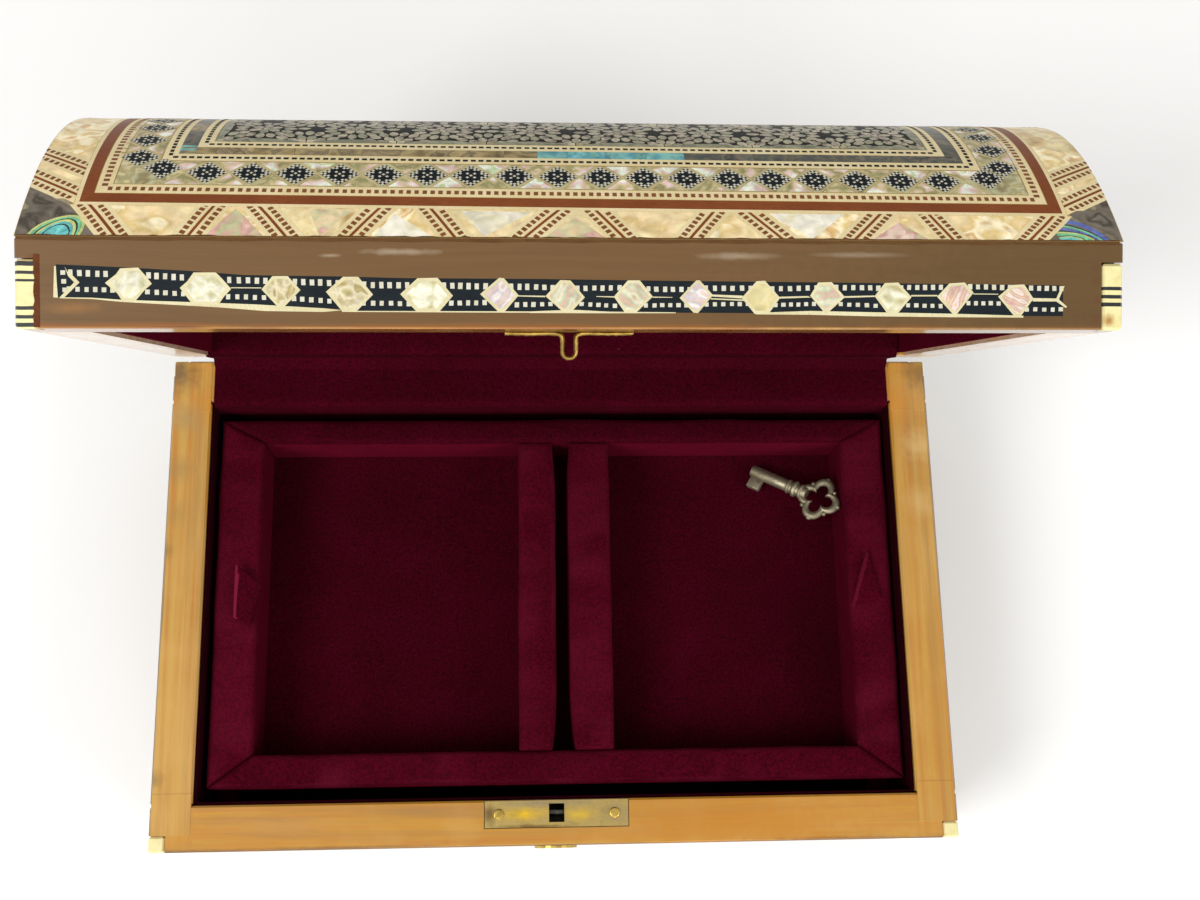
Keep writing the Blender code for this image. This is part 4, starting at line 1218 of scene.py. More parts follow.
        lap, shuffle = [], random.Random(5)
        x, last = 0.3, 0.2
        while x < ACROSS - 2.4:
            wide, now = shuffle.uniform(1.2, 2.2), 0.12 + 0.3 * shuffle.random() ** 2
            lap.append([(x, 0.02), (x + wide, 0.02), (x + wide, now), (x, last)])
            x, last = x + wide, now
        paint = grained_veneer("brown_paint_lap", tone.lacquer_dark, "#4A2E18", 0.5, 0.3)
        cut_veneer("paint_lap", lap, high, paint, 5, thick=0.00016, turned=False)
        top = (DOME_LOW.z - LID_LOW.z) / MM
        over_joint = []
        for k, x0 in enumerate(np.arange(0.3, ACROSS - 5.2, 5.1)):
            foot, next_foot = top - 0.55 - 0.1 * (k % 3), top - 0.55 - 0.1 * ((k + 1) % 3)
            over_joint.append([(x0, foot), (x0 + 5.1, next_foot), (x0 + 5.1, top + 0.28), (x0, top + 0.28)])
        cut_veneer("paint_over_joint", over_joint, 0.00006, paint, 5, LID_FRONT, thick=0.00012, turned=False)
        beside, y, last = [], 0.2, 3.4
        while y < 12.6:
            tall, now = shuffle.uniform(0.5, 1.3), 3.25 + 0.45 * shuffle.random()
            beside.append([(last, y), (4.45, y), (4.45, y + tall), (now, y + tall)])
            y, last = y + tall, now
        red_paint = grained_veneer("reddish_paint_beside_bone", "#6A3A1C", "#3E2010", 0.6, 0.3)
        cut_veneer("paint_beside_bone", beside, 0.00010, red_paint, 6, LID_FRONT, thick=0.00014, turned=False)

        line_in = border + size.cream_line / MM
        red_in = line_in + size.red_band / MM
        dots_in = red_in + size.dotted_band / MM
        field_in = dots_in + size.lozenge_field / MM
        dash_in = field_in + size.dashed_band / MM
        abalone_in = dash_in + size.abalone_band / MM
        panel_in = abalone_in + size.dashed_band / MM
        cream_rings = ring(border, line_in) + ring(red_in, dots_in) + ring(field_in, dash_in) + ring(
            abalone_in, panel_in
        )
        cut_veneer("cream_bands", cream_rings, mid, cream, 13, bend=1.5)
        cut_veneer("red_brown_band", ring(line_in, red_in), mid, red, 17, bend=1.5, turned=False)

        shuffle = random.Random(7)
        pitch = size.inlay_pitch / MM
        brown_row, dark_row = [], []
        for start, end in ring_path((red_in + dots_in) / 2):
            brown_row += row(start, end, 0.0, pitch, 0.80, 0.54, 0.05, shuffle)
        for inset in ((field_in + dash_in) / 2, (abalone_in + panel_in) / 2):
            for start, end in ring_path(inset):
                dark_row += row(start, end, 0.0, pitch, 0.96, 0.36, 0.06, shuffle)
        cut_veneer("dotted_band_squares", brown_row, high, brown, 19)
        black = grained_veneer("black_dyed_veneer", tone.ebony, "#0E1113", 0.5, 0.4, 0.02)
        cut_veneer("dashed_band_dashes", dark_row, high, black, 23)
        edge_lines = ring(red_in, red_in + 0.12) + ring(dots_in - 0.12, dots_in) + ring(
            field_in - 0.06, field_in + 0.06
        )
        thin = grained_veneer("amber_glue_lines", "#B08A45", "#7E5A28", 0.5)
        cut_veneer("amber_joint_lines", edge_lines, mid + 0.00002, thin, 31, bend=2.0)
        return {"FINISHED"}


class SHELLBOX_OT_dome_lozenges(bpy.types.Operator):
    """Lay the field of shell with its checkered lozenges"""

    bl_idname = "shellbox.dome_lozenges"
    bl_label = "Checkered lozenges"

    def execute(self, context):
        tone, size = colours(), sizes()
        low, mid, high = size.veneer_top, size.chip_top, size.dot_top
        outer = (size.border + size.cream_line + size.red_band + size.dotted_band) / MM
        inner = outer + size.lozenge_field / MM
        middle = (outer + inner) / 2
        count = 20
        first, last = middle + 5.2, ACROSS - middle - 4.7
        across = [(first + (last - first) * i / (count - 1), middle, 7.6, 7.4) for i in range(count)]
        across[0] = (across[0][0] - 0.2, middle + 1.3, 7.2, 7.4)
        across[-1] = (across[-1][0] + 0.9, middle + 1.3, 7.2, 7.4)
        rows = 14
        bottom, top = middle + 5.4, ROUND - middle - 5.4
        upright = [(middle, bottom + (top - bottom) * i / (rows - 1), 7.6, 6.8) for i in range(rows)]
        spots = across + [(x, ROUND - y, wide, tall) for x, y, wide, tall in across]
        spots += upright + [(ACROSS - x, y, wide, tall) for x, y, wide, tall in upright]

        field = nacre(
            "grey_gold_mother_of_pearl",
            (
                (0.0, "#8E7A4E"), (0.25, "#B9A874"), (0.45, "#D6CCA0"), (0.62, "#AC9F70"), (0.8, "#BCBB94"),
                (1.0, "#8F8058")
            ),
            patch=3.4, level=1.06,
        )
        cut_veneer("lozenge_field_shell", ring(outer, inner), (low + mid) / 2, field, 37, bend=2.0)

        pale = nacre(
            "pale_mother_of_pearl",
            (
                (0.0, "#A58E5C"), (0.14, "#E9DDB6"), (0.28, "#B9CE98"), (0.42, "#F6F5E6"), (0.54, "#DCE6D2"),
                (0.66, "#E2BFBE"), (0.8, "#C6B78A"), (1.0, "#8E8A5E")
            ),
            patch=3.0, streak=0.4, spread=0.95, level=1.1,
        )
        wedges, lines = [], []
        low_side, high_side = outer + 0.25, inner - 0.25
        for before, after in zip(across[:-1], across[1:]):
            half, mid_x = (after[0] - before[0]) / 2, (before[0] + after[0]) / 2
            near = half * 0.74
            wedges.append([(mid_x - near, low_side), (mid_x + near, low_side), (mid_x, middle - 0.5)])
            wedges.append([(mid_x + near, high_side), (mid_x - near, high_side), (mid_x, middle + 0.5)])
            for sign in (-1, 1):
                a, b = (mid_x - sign * half * 0.86, low_side), (mid_x + sign * half * 0.86, high_side)
                lines.append(along(a, b, 0.0, 0, math.dist(a, b), 0.10))
        wedges, lines = mirrored(wedges, middle_y=ROUND / 2), mirrored(lines, middle_y=ROUND / 2)
        side_wedges, side_lines = [], []
        for before, after in zip(upright[:-1], upright[1:]):
            half, mid_y = (after[1] - before[1]) / 2, (before[1] + after[1]) / 2
            near = half * 0.74
            side_wedges.append([(low_side, mid_y + near), (low_side, mid_y - near), (middle - 0.5, mid_y)])
            side_wedges.append([(high_side, mid_y - near), (high_side, mid_y + near), (middle + 0.5, mid_y)])
            for sign in (-1, 1):
                a, b = (low_side, mid_y - sign * half * 0.86), (high_side, mid_y + sign * half * 0.86)
                side_lines.append(along(a, b, 0.0, 0, math.dist(a, b), 0.10))
        wedges += mirrored(side_wedges, middle_x=ACROSS / 2)
        lines += mirrored(side_lines, middle_x=ACROSS / 2)
        cut_veneer("lozenge_field_wedges", wedges, mid, pale, 41, bend=2.0)
        cream = grained_veneer("cream_hairlines", "#D8C48E", "#B59C60", 0.5)
        cut_veneer("lozenge_field_hairlines", lines, mid + 0.00001, cream, 43, bend=2.0)

        plates, dots = [], []
        cells = 11
        for x, y, wide, tall in spots:
            plates.append(lozenge(x, y, wide, tall))
            step_x, step_y = wide / (2 * cells), tall / (2 * cells)
            for i in range(-5, 6):
                for j in range(-5, 6):
                    edge = max(abs(i), abs(j)) == 5 and i % 2 and j % 2
                    second = max(abs(i), abs(j)) == 4 and i % 2 == 0 and j % 2 == 0 and abs(i) + abs(j) > 4
                    if edge or second or (i, j) in ((2, 0), (-2, 0), (0, 2), (0, -2), (0, 0)):
                        dots.append(
                            lozenge(x + (i + j) * step_x, y + (i - j) * step_y, step_x * 1.95, step_y * 1.95)
                        )
        black = grained_veneer("blue_black_veneer", tone.ebony, "#0F1316", 0.5, 0.4, 0.03)
        white = grained_veneer("white_bone_dots", "#DCD8C6", "#B4AC90", 0.5)
        cut_veneer("checkered_lozenges", plates, mid + 0.00002, black, 47, bend=2.0)
        cut_veneer("lozenge_white_dots", dots, high + 0.00002, white, 53)
        return {"FINISHED"}


class SHELLBOX_OT_dome_panel(bpy.types.Operator):
    """Lay the abalone band and the middle panel of shell petals on black"""

    bl_idname = "shellbox.dome_panel"
    bl_label = "Middle panel"

    def execute(self, context):
        size = sizes()
        low, mid = size.veneer_top, size.chip_top
        band_out = (
            size.border + size.cream_line + size.red_band + size.dotted_band
            + size.lozenge_field + size.dashed_band
        ) / MM
        band_in = band_out + size.abalone_band / MM
        panel_in = band_in + size.dashed_band / MM
        black = grained_veneer("panel_black_ground", "#1E211D", "#0C0E0C", 0.5, 0.4, 0.02)
        ground = ring(band_out, band_in)
        ground.append([
            (panel_in, panel_in), (ACROSS - panel_in, panel_in), (ACROSS - panel_in, ROUND - panel_in),
            (panel_in, ROUND - panel_in)
        ])
        cut_veneer("panel_ground", ground, (low + mid) / 2, black, 59, bend=1.5)

        shuffle = random.Random(61)
        groups = {"dark": [], "gold": [], "blue": []}
        middle = (band_out + band_in) / 2
        half = size.abalone_band / MM / 2
        for side, (start, end) in enumerate(ring_path(middle)):
            length, run = math.dist(start, end), -half + 0.1
            while run < length + half - 0.1:
                chip = min(shuffle.uniform(5.5, 8.5), length + half - 0.1 - run)
                where = middle + run if side in (0, 2) else run
                kind = "dark"
                if side == 0:
                    kind = "gold" if where < 92 else "blue" if where < 120 else "dark"
                elif side == 3 and run > length - 8:
                    kind = "blue"
                elif shuffle.random() < 0.3:
                    kind = "gold"
                groups[kind].append(along(start, end, 0.0, run, run + chip - 0.04, half - 0.04))
                run += chip
        shells = {
            "dark": nacre(
                "dark_abalone",
                (
                    (0.0, "#24292B"), (0.25, "#4A4B45"), (0.45, "#6E6650"), (0.62, "#474E4A"),
                    (0.8, "#746A58"), (1.0, "#2E3231")
                ),
                4.0, 0.3, 0.4
            ),
            "gold": nacre(
                "golden_abalone",
                (
                    (0.0, "#5B4A30"), (0.3, "#95814F"), (0.5, "#B49E6E"), (0.68, "#7C6E4C"),
                    (0.85, "#A08C68"), (1.0, "#6A5836")
                ),
                4.0, 0.3, 0.4, level=0.95
            ),
            "blue": nacre(
                "turquoise_abalone",
                (
                    (0.0, "#3E7C8C"), (0.3, "#5FA6AE"), (0.5, "#86C3B8"), (0.68, "#4E93A6"),
                    (0.85, "#79B7A0"), (1.0, "#39707F")
                ),
                3.4, 0.3, 0.3
            ),
        }
        for kind, outlines in groups.items():
            cut_veneer(f"abalone_band_{kind}", outlines, mid, shells[kind], 67, bend=2.0)

        petals, squares, edging = [], [], []
        wide, deep = ACROSS - 2 * panel_in, ROUND - 2 * panel_in
        columns, lines = 8, 5
        step_x, step_y = wide / columns, deep / lines

        def petal(x, y, turn, near, far, half_wide):
            """A pointed leaf that starts and ends at two distances from a centre."""
            profile = (
                (near, 0.4), (near + (far - near) * 0.35, 0.95), (near + (far - near) * 0.72, 0.9),
                (far, 0.22)
            )
            side = [(run, half_wide * share) for run, share in profile]
            outline = side + [(run, -share) for run, share in reversed(side)]
            cosine, sine = math.cos(turn), math.sin(turn)
            return [
                (x + run * cosine - share * sine, y + run * sine + share * cosine) for run, share in outline
            ]

        def hexagon(x, y, radius, turn=0.0):
            return [
                (
                    x + radius * math.cos(turn + math.tau * k / 6),
                    y + radius * math.sin(turn + math.tau * k / 6)
                )
                for k in range(6)
            ]

        # Medallions at the corners of the cells and rosettes in their middles, each ringed by petals
        centres = [
            (panel_in + step_x * column, panel_in + step_y * line, 2.9)
            for column in range(columns + 1) for line in range(lines + 1)
        ]
        centres += [
            (panel_in + step_x * (column + 0.5), panel_in + step_y * (line + 0.5), 2.15)
            for column in range(columns) for line in range(lines)
        ]
        for x, y, first in centres:
            others = [(a, b) for a, b, _ in centres if 0 < math.hypot(a - x, b - y) < 20]
            if first > 2.5:
                for sign_x in (-1, 1):
                    for sign_y in (-1, 1):
                        chip = [
                            (x + sign_x * a, y + sign_y * b)
                            for a, b in ((0.1, 0.1), (1.55, 0.1), (1.55, 1.55), (0.1, 1.55))
                        ]
                        squares += within([chip], panel_in, panel_in, ACROSS - panel_in, ROUND - panel_in)
            else:
                petals.append(hexagon(x, y, 0.8))
            for step in range(3):
                radius = first + 2.75 * step
                count = round(math.tau * radius / 2.12)
                offset = shuffle.uniform(0, 1)
                for k in range(count):
                    turn = math.tau * (k + offset) / count
                    spot = (x + radius * math.cos(turn), y + radius * math.sin(turn))
                    if min(math.dist(spot, other) for other in others) < radius + 0.7:
                        continue
                    petals.append(
                        petal(x, y, turn, radius - 1.26, radius + 1.32 + shuffle.uniform(-0.12, 0.12), 0.94)
                    )
        for column in range(columns):
            for place_y, sign in ((panel_in, 1), (ROUND - panel_in, -1)):
                x0, x1 = panel_in + step_x * column + 0.3, panel_in + step_x * (column + 1) - 0.3
                arch = [
                    (x0 + (x1 - x0) * k / 8, place_y + sign * (0.35 + 1.7 * math.sin(math.pi * k / 8)))
                    for k in range(9)
                ]
                edging.append([(x0, place_y + sign * 0.15)] + arch + [(x1, place_y + sign * 0.15)])
        for line in range(lines):
            for place_x, sign in ((panel_in, 1), (ACROSS - panel_in, -1)):
                y0, y1 = panel_in + step_y * line + 0.3, panel_in + step_y * (line + 1) - 0.3
                arch = [
                    (place_x + sign * (0.35 + 1.7 * math.sin(math.pi * k / 8)), y0 + (y1 - y0) * k / 8)
                    for k in range(9)
                ]
                edging.append([(place_x + sign * 0.15, y0)] + arch + [(place_x + sign * 0.15, y1)])
        region = (panel_in + 0.1, panel_in + 0.1, ACROSS - panel_in - 0.1, ROUND - panel_in - 0.1)
        grey = nacre(
            "grey_shell_petals",
            (
                (0.0, "#554F3E"), (0.25, "#868068"), (0.45, "#ACA68A"), (0.62, "#828468"), (0.8, "#B9AC94"),
                (1.0, "#666050")
            ),
            patch=2.8, spread=0.9, level=1.05,
        )
        warm = nacre(
            "warm_shell_squares",
            ((0.0, "#A28E68"), (0.3, "#CDBB90"), (0.5, "#D8CBAA"), (0.7, "#B7B58C"), (1.0, "#9A8660")),
            patch=2.4, spread=0.6,
        )
        green = nacre(
            "green_shell_edging",
            ((0.0, "#5F604A"), (0.3, "#86856A"), (0.5, "#9C9A7C"), (0.7, "#6F755E"), (1.0, "#7E7860")),
            patch=2.4, spread=0.5,
        )
        cut_veneer("panel_petals", within(petals, *region), mid, grey, 71)
        cut_veneer("panel_squares", squares, mid + 0.00001, warm, 73)
        cut_veneer("panel_edging", edging, mid + 0.00001, green, 79, bend=2.0)
        return {"FINISHED"}


# The lid's front band, in mm from the lid's left edge and above its rim. It was set slightly askew by hand.

BAND_TOP = (
    (6.74, 11.32), (18.4, 10.84), (30.2, 10.24), (40.5, 9.5), (56.9, 9.32), (69.4, 9.05), (93.9, 8.98),
    (115.9, 8.74), (146.0, 8.52), (167.3, 8.33), (192.2, 8.12),
)
BAND_FOOT = (
    (7.12, 5.37), (18.4, 4.87), (36.0, 4.33), (42.2, 4.1), (57.2, 3.4), (61.8, 2.96), (93.9, 2.94),
    (119.4, 2.84), (136.0, 2.78), (144.1, 3.19), (155.7, 2.96), (184.6, 2.34), (193.0, 2.36),
)
BAND_CREAM = (
    (
        (7.3, 5.40), (13.1, 5.32), (18.4, 4.95), (36.0, 4.40), (42.2, 4.18), (54.6, 3.50), (57.8, 3.15),
        (54.6, 2.84), (43.9, 2.98), (36.0, 3.61), (18.4, 4.58), (13.1, 5.08), (7.4, 5.20)
    ),
    ((57.8, 3.04), (92.0, 3.02), (92.0, 2.76), (57.8, 2.86)),
    ((92.0, 3.0), (99.8, 3.34), (106.7, 3.0), (119.0, 2.9), (119.0, 2.74), (106.7, 2.70), (92.0, 2.72)),
    (
        (134.0, 2.84), (144.1, 3.22), (155.7, 3.0), (171.2, 2.75), (184.6, 2.40), (184.6, 2.05),
        (171.2, 2.10), (155.7, 2.24), (144.1, 2.50), (134.0, 2.55)
    ),
)
BAND_MARKS = (
    ((6.44, 11.02), (6.24, 5.37), (7.05, 5.31), (6.88, 8.05), (6.75, 11.0)),
    (
        (8.30, 10.95), (8.82, 9.99), (9.78, 9.25), (10.90, 8.07), (8.20, 5.38), (7.41, 5.43), (9.97, 8.10),
        (8.9, 9.2)
    ),
    ((37.8, 7.28), (43.3, 7.26), (43.3, 7.10), (37.8, 7.12)),
    ((89.9, 5.96), (94.9, 5.90), (94.9, 5.64), (89.9, 5.76)),
    ((104.3, 5.86), (107.6, 5.84), (107.6, 5.60), (104.3, 5.74)),
    ((114.7, 5.80), (118.4, 5.72), (118.4, 5.62), (114.7, 5.60)),
    ((125.7, 6.22), (131.5, 6.02), (131.5, 5.50), (125.7, 5.86)),
    ((125.5, 5.55), (131.7, 5.30), (131.7, 5.05), (125.5, 5.32)),
    ((138.3, 5.84), (143.7, 5.98), (144.3, 5.72), (138.3, 5.50)),
    ((150.5, 5.98), (156.3, 6.12), (156.3, 5.86), (150.5, 5.66)),
    ((163.2, 6.24), (168.2, 6.26), (168.2, 6.00), (163.2, 5.96)),
    ((175.0, 6.56), (179.8, 6.50), (179.8, 6.36), (175.0, 6.38)),
    (
        (186.4, 5.72), (190.9, 5.66), (192.0, 8.0), (192.5, 8.0), (191.4, 5.5), (193.0, 4.1), (192.7, 3.9),
        (190.9, 5.1), (186.4, 5.1)
    ),
)
BAND_PEARLS = (
    (
        (15.41, 8.0), (17.38, 9.58), (18.12, 10.63), (21.34, 10.8), (22.65, 9.31), (23.73, 7.88),
        (22.48, 6.77), (20.71, 4.67), (18.51, 4.67), (17.6, 6.1)
    ),
    (
        (28.72, 7.15), (30.0, 8.29), (31.19, 9.94), (35.18, 9.96), (36.2, 8.92), (37.88, 6.98), (36.62, 5.62),
        (35.58, 4.12), (31.0, 4.1), (29.98, 5.45)
    ),
    ((43.33, 6.9), (45.3, 9.34), (48.07, 9.35), (50.34, 6.82), (47.38, 3.74), (46.24, 3.74)),
    ((54.92, 6.51), (58.04, 9.26), (60.77, 9.27), (63.44, 6.04), (60.47, 2.99), (57.84, 2.98)),
    ((68.38, 6.13), (71.53, 9.05), (75.17, 9.14), (77.97, 5.86), (75.47, 2.93), (71.34, 2.92)),
    ((82.94, 6.18), (86.44, 9.18), (87.28, 9.12), (90.0, 5.97), (87.42, 2.96), (86.25, 2.96)),
    ((94.92, 5.83), (97.65, 8.8), (99.53, 8.74), (102.18, 5.62), (99.68, 2.96), (98.14, 2.95)),
    ((107.54, 5.77), (110.12, 8.78), (112.35, 8.79), (114.74, 5.8), (111.65, 2.82), (109.59, 2.81)),
    ((119.73, 5.57), (122.84, 8.83), (123.46, 8.84), (125.94, 6.11), (123.17, 2.78), (122.31, 2.85)),
    ((131.3, 5.61), (134.08, 8.71), (135.64, 8.82), (138.49, 5.64), (136.33, 2.64), (133.73, 2.64)),
    ((144.13, 6.05), (145.67, 8.51), (148.17, 8.6), (150.68, 5.8), (147.4, 2.82), (146.82, 2.93)),
    ((156.29, 6.0), (158.22, 8.45), (160.74, 8.57), (163.27, 5.84), (160.55, 2.66), (158.81, 2.66)),
    ((168.13, 5.93), (170.46, 8.42), (173.39, 8.62), (175.07, 6.72), (171.84, 2.62), (171.06, 2.77)),
    ((179.77, 5.97), (182.39, 8.16), (184.75, 8.28), (186.52, 5.61), (183.98, 2.15), (183.0, 2.15)),
)
# Runs of squares between the shells: the first and last square's middle on each row, and how many
BAND_SQUARES_TOP = (
    ((9.3, 9.85), (15.6, 9.6), 5), ((23.1, 9.4), (29.1, 9.0), 5), ((37.6, 8.6), (44.1, 8.5), 5),
    ((49.4, 8.3), (57.0, 8.1), 6),
    ((61.8, 7.8), (69.6, 7.7), 6), ((76.3, 7.7), (83.9, 7.6), 6), ((88.6, 7.6), (96.2, 7.4), 6),
    ((100.8, 7.3), (108.6, 7.4), 6),
    ((113.9, 7.2), (121.6, 7.1), 6), ((124.6, 7.4), (133.0, 7.4), 6), ((137.0, 7.3), (145.3, 7.5), 6),
    ((149.1, 7.6), (157.0, 7.5), 6),
    ((161.3, 7.6), (168.9, 7.7), 6), ((174.4, 7.8), (182.0, 7.7), 6), ((186.1, 7.6), (191.9, 7.5), 5),
)
BAND_SQUARES_FOOT = (
    ((9.0, 6.9), (16.7, 6.7), 6), ((23.0, 6.4), (29.3, 6.1), 5), ((37.3, 5.6), (43.8, 5.4), 5),
    ((49.1, 5.3), (55.5, 4.8), 5),
    ((61.8, 4.5), (69.9, 4.4), 6), ((76.2, 4.5), (83.7, 4.6), 6), ((89.7, 4.2), (95.8, 4.4), 5),
    ((101.6, 4.4), (107.7, 4.1), 5),
    ((113.5, 4.2), (121.0, 4.2), 6), ((124.8, 4.4), (132.5, 4.5), 6), ((137.6, 4.3), (144.9, 4.5), 6),
    ((149.9, 4.5), (156.5, 4.2), 5),
    ((162.7, 4.3), (168.8, 4.2), 5), ((172.6, 4.8), (179.9, 4.7), 6), ((185.3, 3.6), (191.8, 3.6), 5),
)


def shrunk(outline, share):
    """A smaller copy of an outline about its middle."""
    x = sum(point[0] for point in outline) / len(outline)
    y = sum(point[1] for point in outline) / len(outline)
    return [(x + (px - x) * share, y + (py - y) * share) for px, py in outline]


def upright_square(x, y, wide, tall, lean=0.0):
    return [
        (x - wide / 2 - lean, y - tall / 2), (x + wide / 2 - lean, y - tall / 2),
        (x + wide / 2 + lean, y + tall / 2), (x - wide / 2 + lean, y + tall / 2)
    ]


BAND_FACE = on_face(
    (LID_LOW.x + 0.00065, LID_LOW.y, LID_LOW.z + 0.00024), (1.0028, 0, 0), (0, 0, 1), LID_PLACE
)


def band_veneers(kind):
    """The black ground, the white squares and the cream lines of a band."""
    black = grained_veneer(f"{kind}_black_veneer", colours().ebony, "#0F1417", 0.5, 0.35)
    white = grained_veneer(f"{kind}_white_squares", "#D5D2C0", "#B2AA88", 0.5)
    cream = grained_veneer(f"{kind}_cream_lines", "#DAD2AC", "#B8AA78", 0.5)
    return black, white, cream


class SHELLBOX_OT_lid_band(bpy.types.Operator):
    """Lay the black band with white squares and shells on the lid's front"""

    bl_idname = "shellbox.lid_band"
    bl_label = "Lid's front band"

    def execute(self, context):
        shuffle = random.Random(83)
        black, white, cream = band_veneers("band")
        ground = []
        knots = sorted({round(x, 2) for x, _ in BAND_TOP + BAND_FOOT if 7.1 <= x <= 192.2})
        tops = np.interp(knots, *zip(*BAND_TOP))
        feet = np.interp(knots, *zip(*BAND_FOOT))
        for i in range(len(knots) - 1):
            ground.append(
                [
                    (knots[i], feet[i]), (knots[i + 1], feet[i + 1]), (knots[i + 1], tops[i + 1]),
                    (knots[i], tops[i])
                ]
            )
        ground.append([(6.85, 5.4), (7.13, 5.4), (7.13, 11.3), (6.76, 11.32)])
        cut_veneer("lid_band_ground", ground, 0.00003, black, 89, BAND_FACE, thick=0.00006, turned=False)
        squares = []
        for runs, wide, tall in ((BAND_SQUARES_TOP, 0.80, 1.12), (BAND_SQUARES_FOOT, 0.80, 0.90)):
            for (x0, y0), (x1, y1), count in runs:
                for k in range(count):
                    share = k / (count - 1)
                    x = x0 + (x1 - x0) * share + shuffle.uniform(-0.07, 0.07)
                    y = y0 + (y1 - y0) * share + shuffle.uniform(-0.04, 0.04)
                    high = tall * (0.85 if x > 93 else 1.0) * shuffle.uniform(0.93, 1.06)
                    squares.append(
                        upright_square(
                            x, y, wide * shuffle.uniform(0.88, 1.05), high, shuffle.uniform(-0.03, 0.03)
                        )
                    )
        for x, y in ((7.97, 9.84), (8.11, 8.26), (8.3, 6.72)):
            squares.append(upright_square(x, y, 0.85, 0.8))
        cut_veneer("lid_band_squares", squares, 0.00006, white, 97, BAND_FACE, thick=0.00008)
        cut_veneer(
            "lid_band_lines", list(BAND_CREAM) + list(BAND_MARKS), 0.00007, cream, 101, BAND_FACE,
            thick=0.00009
        )
        cut_veneer("lid_band_shell_frames", list(BAND_PEARLS), 0.00009, cream, 103, BAND_FACE, thick=0.00011)
        inner = [shrunk(outline, 0.80) for outline in BAND_PEARLS]
        for kind, chosen, stops, streak in (
            (
                "greenish", (0, 1, 4, 11),
                ((0.0, "#CDC69A"), (0.3, "#E4DFBB"), (0.55, "#F3EFDB"), (0.8, "#D6D2AC"), (1.0, "#C2B88A")),
                0.3
            ),
            (
                "gritty_gold", (2, 3),
                ((0.0, "#8C7A46"), (0.3, "#C9BC8A"), (0.55, "#EDE3C2"), (0.8, "#B5A166"), (1.0, "#DCD0A4")),
                0.3
            ),
            (
                "grey_pink", (5, 8),
                ((0.0, "#BDA79C"), (0.3, "#E6D2C6"), (0.5, "#F1EAE2"), (0.75, "#C9C4CE"), (1.0, "#E2C8B4")),
                0.7
            ),
            (
                "gold_pink", (6, 7, 10),
                ((0.0, "#B4A06C"), (0.3, "#DCC79B"), (0.5, "#EFE9CF"), (0.75, "#C8D3B0"), (1.0, "#E0B7A4")),
                0.6
            ),
            (
                "plain_cream", (9,), ((0.0, "#CFC188"), (0.4, "#E4D79F"), (0.7, "#E9DEAC"), (1.0, "#C9B878")),
                0.1
            ),
            (
                "striped_pink", (12, 13),
                ((0.0, "#C99E8A"), (0.3, "#EBCFB8"), (0.5, "#F4E9DC"), (0.7, "#D9A9A4"), (1.0, "#E6D3A8")),
                0.9
            ),
        ):
            shell = nacre(
                f"band_{kind}_shell", stops, patch=2.6, spread=0.4, streak=streak, stripe=0.12, level=0.84
            )
            cut_veneer(
                f"lid_band_shells_{kind}", [inner[i] for i in chosen], 0.00012, shell, 107, BAND_FACE,
                thick=0.00014
            )
        return {"FINISHED"}


